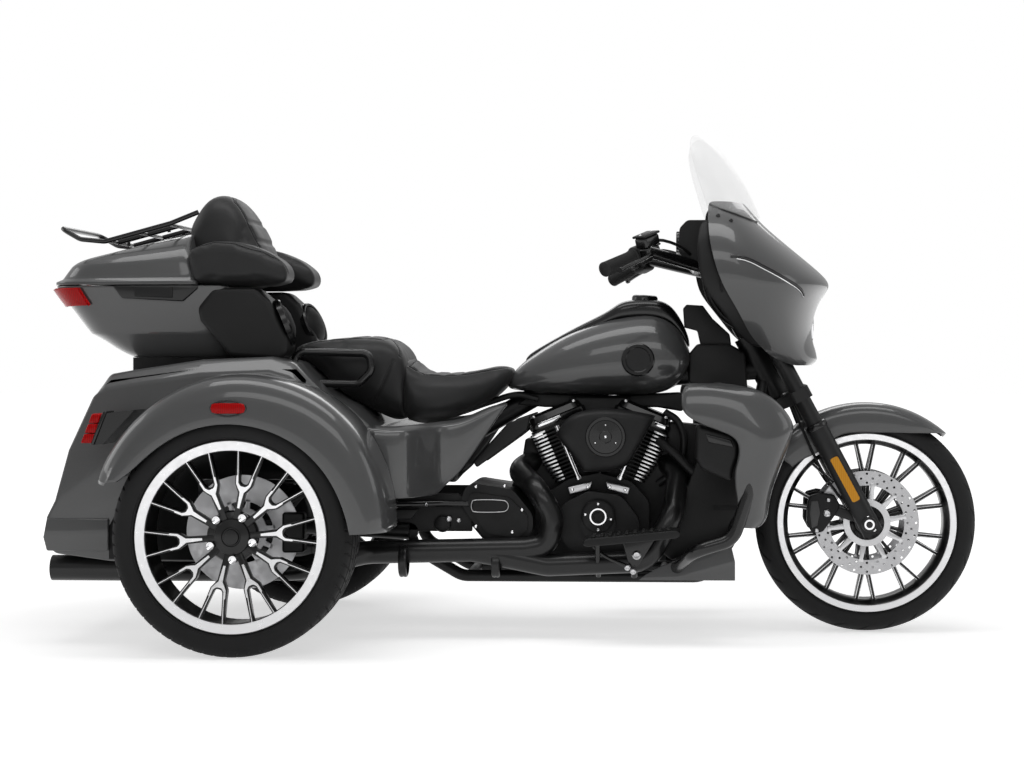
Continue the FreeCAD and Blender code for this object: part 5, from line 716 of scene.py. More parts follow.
skin("box_shell", [tray_ring(z, z, *rest, BOX_FRONT_CORNER) for z, *rest in BOX_LEVELS],
     "body_paint", caps=(True, False), rows=(0, 4, 8), wall=(4.0, -1.0), node="tour_box")
lid = skin("lid_shell", [tray_ring(*level, LID_FRONT_CORNER) for level in LID_LEVELS],
           "body_paint", "tour_lid", caps=(False, True), rows=(0, 1, 3), value=0.8,
           wall=(4.0, -1.0), node="tour_lid")
crease(lid, 4 * len(CORNER_TURNS), rows=(4,), value=0.55)
prism("box_latch_plate", [(-414, 1003), (-171, 1003), (-168, 996), (-212, 958), (-387, 967)],
      -284, -301, "wheel_black", 4.0, node="box_latch")
prism("box_latch_paddle", [(-350, 1000), (-240, 1000), (-240, 968), (-350, 972)], -296, -304,
      "black_trim", 2.5)
lathe("box_lock", [(0, 4), (7, 4), (9, 2.5), (9.5, 0), (0, 0)], (-262, -303, 984), "chrome",
      steps=32)
LAMP_LOW, LAMP_HIGH, LAMP_SWELL, LAMP_ROWS = 949.0, 997.0, 5.0, 5
for side, word in SIDES:
    rings = []
    for i in range(LAMP_ROWS):
        share = i / (LAMP_ROWS - 1)
        z = lerp(LAMP_LOW, LAMP_HIGH, share)
        below, above = [pair for pair in zip(BOX_LEVELS, BOX_LEVELS[1:]) if pair[0][0] <= z][-1]
        rise = (z - below[0]) / (above[0] - below[0])
        rear, front, half, corner = [lerp(p, q, rise) for p, q in zip(below[1:], above[1:])]
        ring = [(rear - LAMP_SWELL, 168)]
        ring += circle((rear + corner, half - corner), corner + LAMP_SWELL,
                       [180 - 15 * k for k in range(7)])
        ring.append((lerp(-514, -524, share), half + LAMP_SWELL))
        rings.append([at(x, side * y, z) for x, y in ring])
    skin("box_lamp_" + word, rings, "red_lens", closed=False, rows=(0, LAMP_ROWS - 1),
         wall=(8.0, -side))

# Speaker pods ahead of the box
prisms("speaker_pod_", [(-173, 938), (-129, 996), (-6, 997), (35, 961), (90, 851), (88, 812),
                        (64, 790), (-80, 800), (-164, 903)], 176, 300, "black_trim", 24.0, 6,
       node="speaker_pods")
for side, word in SIDES:
    facing = (0.92, -side * 0.22, 0.38)
    lathe("speaker_grille_" + word, [(0, 20), (20, 19), (38, 14), (52, 6), (60, -2), (62, -12),
                                     (0, -12)], (72, side * 236, 900), "radiator", axis=facing,
          steps=64)
    lathe("speaker_ring_" + word, [(58, -4), (60, 4), (66, 5), (70, 0), (70, -14), (58, -14)],
          (72, side * 236, 900), "gloss_black", axis=facing, steps=64, closed=True)

# Side covers: stations as (x, y, low, high)
SIDE_PANEL = [
    (344, 419, 450, 612), (380, 420, 409, 608), (418, 418, 409, 610), (440, 404, 409, 611),
    (465, 356, 409, 613), (490, 298, 409, 615), (510, 262, 411, 617), (530, 247, 440, 619),
    (560, 241, 460, 622), (600, 239, 514, 636), (650, 238, 588, 660), (688, 237, 645, 668),
    (702, 235, 662, 668)]
for side, word in SIDES:
    rings = []
    for x, y, low, high in SIDE_PANEL:
        fall, middle = min(18.0, (high - low) * 0.4), lerp(low, high, 0.5)
        section = ((y - 12, low), (y - 2, low + 2), (y + 1.5, middle), (y, high - fall),
                   (y - 12, high - fall * 0.4), (y - 40, high), (y - 42, high - 8),
                   (y - 14, high - fall - 4), (y - 12, middle))
        rings.append([at(x, side * w, z) for w, z in section])
    skin("side_cover_" + word, rings, "body_paint", lines=(0, 3, 5, 6, 7), rows=(0, 12),
         value=0.8, node="side_covers")
prisms("frame_cover_", [(701, 611), (767, 634), (757, 590), (722, 562), (611, 482), (600, 500)],
       150, 178, "black_trim", 6.0, 4)


# Soft parts
PUFF_VOXEL, PUFF_PRESSURE, PUFF_STEPS = 6.0, 3.0, 12
SEAM_PITCH = 8


def puff(obj, cap):
    """Swells a closed mesh like a filled cover, no point further than a cap."""
    remesh = obj.modifiers.new("remesh", "REMESH")
    remesh.mode, remesh.voxel_size = "VOXEL", PUFF_VOXEL * MM
    settle(obj)
    start = [v.co.copy() for v in obj.data.vertices]
    settings = obj.modifiers.new("cloth", "CLOTH").settings
    settings.use_pressure = True
    settings.uniform_pressure_force = PUFF_PRESSURE
    settings.effector_weights.gravity = 0.0
    settings.quality = 4
    for step in range(1, PUFF_STEPS + 1):
        bpy.context.scene.frame_set(step)
    settle(obj)
    bpy.context.scene.frame_set(1)
    for vertex, rest in zip(obj.data.vertices, start):
        move = vertex.co - rest
        if move.length > cap * MM:
            vertex.co = rest + move * (cap * MM / move.length)
    calm = obj.modifiers.new("calm", "SMOOTH")
    calm.factor, calm.iterations = 0.5, 6
    settle(obj)
    obj.data.polygons.foreach_set("use_smooth", [True] * len(obj.data.polygons))
    settle(subdivide(obj, 1))


def sew(obj, lines, body, width=10.0, depth=3.0, thread=1.3):
    """Draws a padded piece in along lines, with a thread in each when it has a size."""
    paths = []
    for line in lines:
        path = []
        for a, b in zip(line, line[1:]):
            steps = max(2, int((Vector(b) - Vector(a)).length / SEAM_PITCH))
            for i in range(steps + (b is line[-1])):
                spot = at(*[lerp(p, q, i / steps) for p, q in zip(a, b)])
                place, normal = obj.closest_point_on_mesh(spot)[1:3]
                path.append((place.copy(), normal.copy()))
        paths.append(path)
    tree = KDTree(sum(len(path) for path in paths))
    for count, (place, normal) in enumerate(spot for path in paths for spot in path):
        tree.insert(place, count)
    tree.balance()
    normals = [v.normal.copy() for v in obj.data.vertices]
    for vertex, normal in zip(obj.data.vertices, normals):
        gap = tree.find(vertex.co)[2] / MM / width
        if gap < 1.0:
            vertex.co -= normal * depth * MM * (1 - gap * gap) ** 2
    for path in paths if thread else ():
        points = [place - normal * (depth - thread) * MM for place, normal in path]
        tube(obj.name + "_thread", [((p.x - AXLE.x) / MM, p.y / MM, p.z / MM) for p in points],
             thread, "thread", body, 3, round_steps=2)


def upholster(obj, body, node, seams, channels=(), cap=8.0):
    """Makes a cage a padded piece with sewn seams and channels."""
    settle(obj)
    puff(obj, cap)
    sew(obj, seams, body)
    if channels:
        sew(obj, channels, body, width=14.0, depth=3.5, thread=0)
    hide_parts(node)


def cross_seams(half, stations, bulge, rise=0.0):
    """Seams across the trike at (x, z), bent ahead and up in the middle."""
    return [[(x, -half, z), (x + bulge, 0, z + rise), (x, half, z)] for x, z in stations]


PASSENGER_STATIONS = [
    (66, 792, 822, 96), (84, 790, 832, 132), (141, 786, 842, 168), (205, 705, 848, 182),
    (260, 668, 854, 188), (320, 640, 857, 190), (350, 625, 853, 190), (378, 616, 838, 188),
    (398, 612, 812, 182), (408, 612, 792, 168)]
RIDER_STATIONS = [
    (392, 614, 792, 150), (402, 612, 806, 178), (420, 611, 778, 192), (438, 611, 754, 197),
    (470, 614, 748, 199), (510, 622, 746, 196), (555, 634, 747, 184), (600, 650, 752, 160),
    (645, 680, 763, 126), (675, 705, 772, 98), (694, 728, 776, 74), (706, 744, 771, 52)]
passenger = sausage("passenger_seat", PASSENGER_STATIONS, "seat_cover", 0.5, 0.55)
rider = sausage("rider_seat", RIDER_STATIONS, "seat_cover", 0.55, 0.5)
SEAM_SPOTS = ((0, 100, 850), (0.3, 180, 880), (0.2, 260, 890), (0, 340, 890))
seams = [[(x, y * (1 - 0.15 * t), z) for t, x, z in SEAM_SPOTS] for y in (-128, 128)]
seams += cross_seams(120, ((100, 850), (340, 880)), 6, 20)
seams += [[(360, side * 60, 860), (372, side * 140, 800), (340, side * 200, 720),
           (300, side * 205, 640)] for side in (-1, 1)]
channels = cross_seams(112, ((160, 890), (220, 890), (280, 890)), 8, 10)
upholster(passenger, "chassis", "seat", seams, channels)
seams = [[(430, side * 150, 800), (520, side * 150, 790), (590, side * 122, 790),
          (650, side * 86, 800), (696, side * 44, 800)] for side in (-1, 1)]
seams += cross_seams(146, ((430, 800),), -6)
channels = [line for x, half in ((470, 132), (510, 130), (550, 122))
            for line in cross_seams(half, ((x, 800),), 14)]
upholster(rider, "chassis", "seat", seams, channels)

BACK_OUTLINE = [
    (-205, 1030), (-243, 1171), (-228, 1204), (-203, 1247), (-179, 1272), (-148, 1281),
    (-117, 1272), (-84, 1244), (-50, 1178), (-16, 1107), (2, 1060), (-10, 1012), (-100, 1008),
    (-180, 1010)]
BACK_HALF = [(168, 0.72, 0.62), (158, 0.86, 0.80), (132, 0.96, 0.93), (80, 1.0, 0.99)]
BACK_STATIONS = [(-y, wide, tall) for y, wide, tall in BACK_HALF] + [(0, 1, 1)] + BACK_HALF[::-1]
BACK_SEAM = [(20, -122, 1030), (-20, -122, 1110), (-60, -118, 1190), (-100, -96, 1262)]
BACK_X, BACK_Z = -110, 1008
rings = [[at(BACK_X + (x - BACK_X) * wide, y, BACK_Z + (z - BACK_Z) * tall)
          for x, z in BACK_OUTLINE] for y, wide, tall in BACK_STATIONS]
backrest = skin("backrest_pad", rings, "seat_cover", "tour_lid")
upholster(backrest, "tour_lid", "backrest",
          [BACK_SEAM + [(-130, 0, 1300)] + [(x, -y, z) for x, y, z in BACK_SEAM[::-1]]],
          cross_seams(108, ((0, 1080), (-24, 1140), (-50, 1200)), 10))
ARM = [
    (-186, 1012), (-204, 1100), (-167, 1117), (-127, 1129), (-68, 1127), (19, 1099), (76, 1066),
    (88, 1036), (80, 1010), (-30, 1006), (-115, 1006)]
for side, word in SIDES:
    arm = prism("arm_bolster_" + word, ARM, side * 160, side * 296, "seat_cover", 24.0, 5,
                "tour_lid")
    seam = [(-190, side * 276, 1110), (-120, side * 284, 1130), (-50, side * 284, 1124),
            (30, side * 280, 1092), (86, side * 270, 1044)]
    upholster(arm, "tour_lid", "backrest", [seam], cap=6.0)

# Wheels
SPOKES = 10
LUGS, LUG_CIRCLE = 5, 60


def wheel_parts(name, centre, outlines, face, material, body, thickness, side, phase):
    """Plates repeated round a wheel: (radius, sideways) outlines, faces at a radius's depth."""
    verts, faces = [], []
    for spoke in range(SPOKES):
        turn = math.radians(phase + 360.0 * spoke / SPOKES)
        c, s = math.cos(turn), math.sin(turn)
        for outline in outlines:
            add_plate(verts, faces, [at(centre[0] + r * c - t * s,
                                     centre[1] + side * (face(r) - depth),
                                     centre[2] + r * s + t * c)
                                  for depth in (0.0, thickness) for r, t in outline],
                   len(outline))
    return face_out(piece(name, verts, faces, material, body))


def mirrored(outline):
    """The other half of an outline that is symmetric about its first direction."""
    return [(r, -t) for r, t in reversed(outline)]


def rear_face(r):
    """How far out the rear spokes stand at a radius."""
    return lerp(78.0, 95.0, max(0.0, min(1.0, (r - 60.0) / 170.0)))


def front_face(r):
    """How far out the front spokes stand at a radius."""
    return lerp(34.0, 26.0, max(0.0, (r - 148.0) / 94.0))


REAR_Y = [(60, -2), (122, -5.5), (132, -13), (142, -19.5), (163, -23), (166, -20.5),
          (229, -33.5), (229, -31.5), (166, -18.5), (160, -17), (146, -14.5), (140, -9), (138, -5)]
REAR_Y_BODY = [(40, -8), (120, -9.5), (130, -16), (142, -23), (165, -26), (236, -38), (236, -29),
               (165, -15), (148, -11), (143, -5)]
REAR_HOOP = [(259, -96), (259, -92), (246, -84), (236, -60), (233, 60), (229, 88), (229, 93),
             (231, 94), (256, 96), (259, 95), (260, 90), (252, 80), (241, 60), (244, -60),
             (252, -80), (260, -94)]
REAR_RING = [(230.5, 94.2), (231.5, 96.2), (256, 97.8), (257.5, 96.4), (257.5, 94)]
REAR_HUB = [(0, 20), (56, 20), (68, 40), (70, 60), (66, 68), (58, 71), (49, 73), (47, 82),
            (26, 87), (24, 85), (22, 85), (20, 91), (0, 93)]
LUG_NUT = [(0, 84), (5, 84), (6.5, 91), (10.5, 93), (11.5, 91), (12, 72), (0, 72)]
REAR_PHASE = 4.6
for side, word in SIDES:
    centre, body_name = (0.0, side * HALF_TRACK, WHEEL_Z), "rear_wheel_" + word
    lathe("rear_hoop_" + word, outward(REAR_HOOP, side), centre, "wheel_black", body_name,
          closed=True, node="rear_rim_" + word)
    lathe("rear_ring_" + word, outward(REAR_RING, side), centre, "machined", body_name,
          steps=128, closed=True)
    soften(wheel_parts("rear_spokes_" + word, centre, [REAR_Y_BODY + mirrored(REAR_Y_BODY)],
                       lambda r: rear_face(r) - 1.0, "wheel_black", body_name, 26.0, side,
                       REAR_PHASE), 1.6, 2)
    even_normals(wheel_parts("rear_spoke_faces_" + word, centre, [REAR_Y + mirrored(REAR_Y)],
                             rear_face, "machined", body_name, 1.4, side, REAR_PHASE))
    lathe("rear_hub_" + word, outward(REAR_HUB, side), centre, "wheel_black", body_name)
    lugs = circle((0.0, WHEEL_Z), LUG_CIRCLE, [REAR_PHASE + 54 + 72 * i for i in range(LUGS)])
    for i, (x, z) in enumerate(lugs):
        lathe("lug_nut_%s_%d" % (word, i), outward(LUG_NUT, side), (x, centre[1], z), "chrome",
              body_name, steps=24)

FRONT_BAR = [(40, 0.5), (154, 4), (242, 24.5), (242, 33.5), (156, 14.0), (40, 7)]
FRONT_EDGES = [[(150, low), (236, low + 18.6), (236, low + 19.8), (150, low + 1.2)]
               for low in (4.6, 12.6)]
FRONT_HOOP = [(260, -63), (240, -62), (239, -54), (232, -42), (226, -30)]
FRONT_HOOP_IN = [(261, 58), (250, 44), (246, 30)]
FRONT_RING = [(240, 62), (241, 64), (257, 65), (259, 63.5), (259, 60)]
FRONT_HUB = [(16, -60), (34, -58), (36, -40), (44, -34), (62, -32), (68, -28), (68, -16),
             (60, -12), (48, -8)]
lathe("front_hoop", FRONT_HOOP + mirrored(FRONT_HOOP) + FRONT_HOOP_IN + mirrored(FRONT_HOOP_IN),
      FRONT_CENTRE, "wheel_black", "front_wheel", closed=True, node="front_rim")
for side in (-1, 1):
    lathe("front_ring", outward(FRONT_RING, side), FRONT_CENTRE, "machined", "front_wheel",
          steps=128, closed=True)
    soften(wheel_parts("front_spokes", FRONT_CENTRE, [FRONT_BAR, mirrored(FRONT_BAR)],
                       front_face, "wheel_black", "front_wheel", 24.0, side, 18.0), 1.2, 2)
    even_normals(wheel_parts("front_spoke_edges", FRONT_CENTRE,
                             FRONT_EDGES + [mirrored(edge) for edge in FRONT_EDGES],
                             lambda r: front_face(r) + 0.8, "machined", "front_wheel", 1.4, side,
                             18.0))
lathe("front_hub", FRONT_HUB + mirrored(FRONT_HUB), FRONT_CENTRE, "wheel_black", "front_wheel",
      closed=True)

# Engine details
CRANK = (961.0, 322.0)
CYLINDER_LEAN = 22.5
PUSHROD_LENGTH = 168
FIN_COUNT, FIN_START, FIN_STOP, FIN_THICK = 14, 152.0, 312.0, 4.0
FIN_LENGTH, FIN_WIDTH, FIN_ROUND, FIN_PROUD = 188.0, 176.0, 26.0, 0.6


def vee(side, up, out, y):
    """A point beside one cylinder: up its axis, out square to it, and across, in millimetres."""
    tilt = math.radians(CYLINDER_LEAN * side)
    return (CRANK[0] + math.sin(tilt) * up + math.cos(tilt) * out, y,
            CRANK[1] + math.cos(tilt) * up - math.sin(tilt) * out)


def rounded(length, width, corner):
    """Points round a rectangle with rounded corners, about its middle."""
    return [spot for x, y, start in QUARTERS
            for spot in circle((x * (length / 2 - corner), y * (width / 2 - corner)), corner,
                               [start + a for a in CORNER_TURNS])]


for side, word in ((-1, "rear"), (1, "front")):
    verts, faces = [], []
    for i in range(FIN_COUNT):
        grow = 0.84 + 0.16 * min(1.0, i / (FIN_COUNT * 0.4))
        up = lerp(FIN_START, FIN_STOP, i / FIN_COUNT)
        half = FIN_WIDTH * grow / 2
        corner = (FIN_LENGTH * grow / 2 - FIN_ROUND, half - FIN_ROUND)
        turns = [90 - 12.0 * k for k in range(5)]
        strip = [(46, half + FIN_PROUD)] + circle(corner, FIN_ROUND + FIN_PROUD, turns)
        strip += circle(corner, FIN_ROUND - FIN_THICK, turns[::-1]) + [(46, half - FIN_THICK)]
        for hand in (-1, 1):
            add_plate(verts, faces, [at(*vee(side, up + rise, side * out, hand * y))
                                  for rise in (-FIN_PROUD, FIN_THICK + FIN_PROUD)
                                  for out, y in strip], len(strip))
    soften(face_out(piece("fin_edges_" + word, verts, faces, "machined")), 0.5, 2)

CLEANER = [
    (839, 579), (869, 625), (900, 645), (970, 655), (1046, 650), (1126, 633), (1090, 566),
    (1051, 499), (1021, 474), (920, 473), (890, 519)]
CLEANER_X, CLEANER_Z = 985, 568
rings = [[at(lerp(CLEANER_X, x, share), y, lerp(CLEANER_Z, z, share)) for x, z in CLEANER]
         for y, share in ((-168, 0.97), (-172, 1.0), (-222, 1.0), (-226, 0.985), (-228, 1.0),
                          (-246, 0.97), (-258, 0.88), (-262, 0.74))]
skin("air_cleaner_shell", rings, "engine_black", lines=(0, 5, 7, 9), rows=(0, 1, 7), value=0.6,
     node="air_cleaner")
DISC_X, DISC_Z = 984, 575
OUTWARD = (0, -1, 0)
lathe("cleaner_disc", [(0, -5), (16, -5), (18, -3.5), (46, -3), (48, -7), (55, -7), (57, -4),
                       (57, 6), (0, 6)], (DISC_X, -262, DISC_Z), "gloss_black", steps=72)
for dx, dz, radius in ((0, 0, 4), (0, 34, 2.2), (-29, -17, 2.2), (29, -17, 2.2)):
    bolt("cleaner_bolt", (DISC_X + dx, -266, DISC_Z + dz), OUTWARD, radius)
CAM = (961, -200, 345)
lathe("cam_disc", [(0, -6), (12, -6), (14, -4), (40, -3), (46, -1), (49, 3), (49, 8), (0, 8)],
      CAM, "engine_black", steps=64)
lathe("cam_ring", [(19, -4), (20, -8), (24, -8), (25, -4), (25, -1), (19, -1)], CAM, "chrome",
      steps=48, closed=True)
for x, z in circle((CAM[0], CAM[2]), 37, (90, 170, 270, 350)):
    bolt("cam_bolt", (x, -203, z), OUTWARD, 4.5)
for side in (-1, 1):
    lean = math.sin(math.radians(CYLINDER_LEAN * side))
    foot = Vector((CRANK[0] + side * 58, -120, 446))
    top = foot + Vector((lean, 0.036, 0.924)) * PUSHROD_LENGTH
    tube("pushrod_tube", [foot, foot.lerp(top, 0.5), top], 7.5, "chrome", node="pushrod_tubes")
    tube("pushrod_collar", [foot, foot.lerp(top, 0.06)], 10.5, "chrome")
    prism("tappet_block", [(CRANK[0] + side * x, z) for x, z in ((20, 440), (26, 418), (84, 404),
                                                           (90, 424))],
          -146, -116, "bright_cast", 3.0)
    for step in (32, 76):
        bolt("tappet_bolt", (CRANK[0] + side * step, -146, 432 - step * 0.18), OUTWARD, 5)
    cover, rings = [], ((313, 172, 164), (318, 176, 168), (330, 176, 168), (334, 166, 158),
                        (350, 158, 150), (358, 140, 128))
    for up, length, width in rings:
        ring = rounded(length, width, 30)
        cover += [at(*vee(side, up, x, y)) for x, y in ring]
    even_normals(face_out(piece("rocker_cover", cover, ring_faces(len(ring), len(rings)),
                                "gloss_black", node="rocker_covers")), 30.0)
    near, far = (-60, 12) if side < 0 else (38, 74)
    panel = [at(*vee(side, up, out, y)) for y in (-85, -78)
             for out, up in ((near, 319), (near, 331), (far, 331), (far, 319))]
    soften(face_out(piece("rocker_panel", panel, ring_faces(4, 2), "chrome")), 2.0)
    for out in (-63, 63):
        bolt("rocker_bolt", vee(side, 352, out, -70), (lean, 0, 0.92), 7)
GEAR_PLATE = [(602, 362), (606, 359)] + circle((689, 375), 16, range(-90, 91, 30))
GEAR_PLATE += [(606, 391), (602, 388)]
prism("gear_plate", GEAR_PLATE, -204, -212, "engine_black", 3.0)
tube("gear_plate_rim", [(x, -211, z) for x, z in GEAR_PLATE], 1.3, "bright_cast", closed=True)
for x, z in ((612, 430), (694, 432), (744, 364), (716, 300), (612, 316)):
    bolt("gear_bolt", (x, -206, z), OUTWARD, 5)

# Plates in the middle plane, between the cylinders, the frame and the radiator
for name, half, material, edge, outline in (
        ("radiator_shroud", 138, "black_trim", 8.0,
         [(1128, 250), (1150, 330), (1176, 416), (1216, 430), (1262, 556), (1370, 556),
          (1388, 420), (1380, 318), (1300, 262), (1240, 240), (1170, 214)]),
        ("front_mount", 52, "engine_black", 6.0,
         [(1044, 290), (1044, 440), (1084, 520), (1170, 610), (1262, 600), (1262, 290)]),
        ("rear_mount", 48, "engine_black", 6.0,
         [(700, 420), (728, 470), (742, 560), (800, 560), (868, 450), (868, 400), (760, 400)]),
        ("intake_body", 58, "engine_black", 8.0,
         [(890, 520), (1032, 520), (1060, 600), (1050, 684), (872, 684), (862, 600)]),
        ("wire_tray", 36, "black_trim", 6.0,
         [(716, 660), (760, 694), (1000, 686), (1196, 696), (1222, 664), (1200, 640),
          (1130, 652), (800, 652)])):
    prism(name, outline, -half, half, material, edge)
for y in (-60, 0, 60):
    prism("shroud_rib", [(1166, 300), (1172, 296), (1196, 404), (1190, 410)], y - 3, y + 3,
          "radiator", 1.0, 2)
prisms("swingarm_guard", [(384, 300), (384, 409), (560, 409), (600, 372), (600, 300)], 186, 176,
       "black_trim", 4.0)
tubes("side_rail", [(352, 200, 378), (440, 200, 379), (520, 200, 381), (592, 198, 380)], 9,
      "gloss_black")
prisms("rail_foot", [(352, 364), (448, 364), (424, 335), (352, 335)], 186, 198, "engine_grey",
       3.0)
CANISTER = [(0, 16), (16, 16), (22, 12), (24, 6), (24, -12), (0, -12)]
for side in (-1, 1):
    lathe("canister", outward(CANISTER, side), (515, side * 190, 322), "black_trim", steps=40)
bolts("rail_bolt", ((535, 206, 337, 8), (563, 206, 333, 6), (470, 206, 378, 5)))
tubes("wire_loom", [(560, 44, 640), (640, 44, 668), (720, 52.8, 688), (780, 52.8, 676)], 9,
      "black_trim")
tube("breather_hose", [(1150, -60, 640), (1190, -70, 610), (1206, -74, 540), (1180, -70, 470),
                       (1130, -64, 430)], 11, "black_trim")
tube("coolant_hose", [(1130, -96, 560), (1180, -110, 520), (1230, -120, 470), (1276, -120, 430)],
     14, "black_trim")
for name, centre, r in (("pipe_band_rear", (412, -262, 222), 44),
                        ("pipe_band_front", (672, -232, 213), 38)):
    lathe(name, [(r - 5, -12), (r, -10), (r + 1.5, -5), (r, 0), (r + 1.5, 5), (r, 10),
                 (r - 5, 12)], centre, "exhaust_black", axis="x", steps=56, closed=True)

# Footboards
RIBS, RIB_PITCH, RIB_START, BOARD_SLOPE = 10, 23, 948, 0.098
RIB_FACES = ((0, 2, 4, 6), (1, 7, 5, 3), (0, 1, 3, 2), (2, 3, 5, 4), (4, 5, 7, 6), (6, 7, 1, 0))
prisms("board_", [(926, 279), (940, 276), (1182, 300), (1194, 306), (1194, 318), (1182, 323),
                  (940, 299), (926, 294)], 273, 384, "black_trim", 5.0, 4, node="footboards")
for side, word in SIDES:
    verts, faces = [], []
    for i in range(RIBS):
        x, start = RIB_START + i * RIB_PITCH, len(verts)
        lift = (x - RIB_START + 12) * BOARD_SLOPE
        verts += [at(px, side * y, z + lift) for px, z in
                  ((x, 299), (x + 12, 300), (x + 10, 304.5), (x + 2, 304)) for y in (286, 372)]
        faces += [tuple(start + k for k in face) for face in RIB_FACES]
    soften(face_out(piece("board_ribs_" + word, verts, faces, "grip_rubber")), 1.2, 2)
prisms("board_web_", [(1030, 284), (1128, 292), (1098, 246), (1076, 212), (1058, 210),
                      (1046, 226)], 262, 272, "gloss_black", 4.0)
bolts("board_bolt_", ((1072, 272, 243, 13),))
tubes("board_arm_", [(1064, 262, 232), (1064, 236, 206), (1064, 205, 178)], 10, "gloss_black")
tubes("board_arm_rear_", [(962, 280, 280), (962, 262, 230), (962, 205, 178)], 8, "gloss_black")
tubes("shift_link_", [(950, 268, 266), (975, 268, 244), (1052, 266, 208)], 5.5, "gloss_black")
bolts("link_bolt_", ((1046, 271, 208, 9), (1062, 271, 197, 9)))

# Fork
STEER_UP = (-0.469472, 0.0, 0.882948)
LEG_Y = 121.0


def on_leg(reach, y, ahead=0.0):
    """A point up the fork leg from the front axle, with a step ahead of it."""
    return (WHEELBASE + STEER_UP[0] * reach + STEER_UP[2] * ahead, y,
            FRONT_WHEEL_Z + STEER_UP[2] * reach - STEER_UP[0] * ahead)


for side, word in SIDES:
    lathe("fork_seal_" + word, [(28, 0), (31.5, 1), (32.5, 4), (32.5, 14), (31, 17), (27, 19),
                                (27, 0)], on_leg(309, side * LEG_Y), "gloss_black", "steering",
          STEER_UP, 48, closed=True)
    for part, profile, material in (
            ("boss", [(0, 1), (19, 1), (21, 0), (22, -4), (22, -12), (0, -12)], "fork_black"),
            ("ring", [(8.5, 0), (9.5, 5), (14.5, 5), (16, 0), (8.5, 0)], "chrome"),
            ("hole", [(0, 2), (9, 2), (9, 0), (0, 0)], "wheel_black")):
        lathe("axle_%s_%s" % (part, word), profile, on_leg(2, side * 159), material, "steering",
              (0, side, 0), 40)
bolts("pinch_bolt_", [(*on_leg(reach, 150, 6), 5.5) for reach in (-18, 20)], "steering", "chrome")
tubes("brake_hose_", [on_leg(96, 92, -34), on_leg(180, 104, -44), on_leg(300, 92, -40),
                      on_leg(430, 70, -26)], 4, "black_trim", "steering")

# Controls, in the left grip's own directions: inward along it, ahead of it and above it
GRIP_END = Vector((985.0, 437.0, 1040.0))
GRIP_ALONG = Vector((0.62, -0.72, 0.30)).normalized()
GRIP_AHEAD = Vector((0.72, 0.62, 0.0)).normalized()
GRIP_UP = GRIP_ALONG.cross(GRIP_AHEAD)
GRIP_RIBS, RIB_STEP = 16, 7


def on_bar(inward, ahead, above, side=1):
    """A point beside a grip, in millimetres."""
    x, y, z = GRIP_END + GRIP_ALONG * inward + GRIP_AHEAD * ahead + GRIP_UP * above
    return (x, side * y, z)


profile = [(0, -2), (14, -2), (18, 0), (21, 3), (21, 7)]
for i in range(GRIP_RIBS):
    profile += [(r, step + i * RIB_STEP) for r, step in ((18.6, 9), (20.6, 11), (20.6, 14),
                                                         (18.6, 15.4))]
profile += [(23, 123), (24, 125), (23, 127.5), (17, 128)]
for side, word in SIDES:
    lathe("grip_" + word, profile, on_bar(0, 0, 0, side), "grip_rubber", "steering",
          (GRIP_ALONG.x, side * GRIP_ALONG.y, GRIP_ALONG.z), 40, node="grips")
for name, inward, ahead, above, material, edge, segments, node in (
        ("switch_housing_%s", (130, 186), (-25, 25), (-27, 25), "black_trim", 12.0, 4, "controls"),
        ("switch_pod_%s", (134, 170), (-36, -20), (-16, 14), "black_trim", 6.0, 4, None),
        ("switch_key_%s_0", (142, 160), (-39, -33), (-12, -4), "gloss_black", 2.0, 2, None),
        ("switch_key_%s_1", (142, 160), (-39, -33), (-1, 7), "gloss_black", 2.0, 2, None),
        ("reservoir_%s", (134, 196), (8, 50), (20, 50), "gloss_black", 7.0, 4, None),
        ("reservoir_cap_%s", (131, 199), (5, 53), (50, 57), "black_trim", 3.5, 4, None),
        ("lever_mount_%s", (132, 156), (20, 52), (-6, 20), "gloss_black", 5.0, 4, None)):
    for side, word in SIDES:
        verts = [at(*on_bar(inward[i], ahead[j], up, side)) for up in above
                 for i, j in ((0, 0), (1, 0), (1, 1), (0, 1))]
        block = face_out(piece(name % word, verts, ring_faces(4, 2), material, "steering", node))
        soften(block, edge, segments)
for side, word in SIDES:
    for inward in (141, 189):
        bolt("cap_screw_" + word, on_bar(inward, 29, 57, side), (0, 0, 1), 3.6, "steering")
tubes("lever_", [on_bar(150, 44, 4), on_bar(128, 56, 2), on_bar(96, 56, 0), on_bar(50, 54, -2),
                 on_bar(6, 57, -4)], 5.5, "gloss_black", "steering")
tubes("lever_tip_", [on_bar(9, 57, -4), on_bar(2, 57.4, -4)], 7.5, "gloss_black", "steering")
tubes("control_cable_", [on_bar(190, 20, 30), on_bar(230, 34, 18), (1232, 190, 1086),
                         (1275, 120, 1040)], 4.5, "black_trim", "steering")


# Slots, headlamp and trim on the fairing
RAY_START = 900


def on_side(x, z, side, lift):
    """Where a line across the trike meets the fairing, in millimetres."""
    spot = fairing.ray_cast(at(x, side * RAY_START, z), Vector((0, -side, 0)))[1]
    return ((spot.x - AXLE.x) / MM, spot.y / MM + side * lift, spot.z / MM)


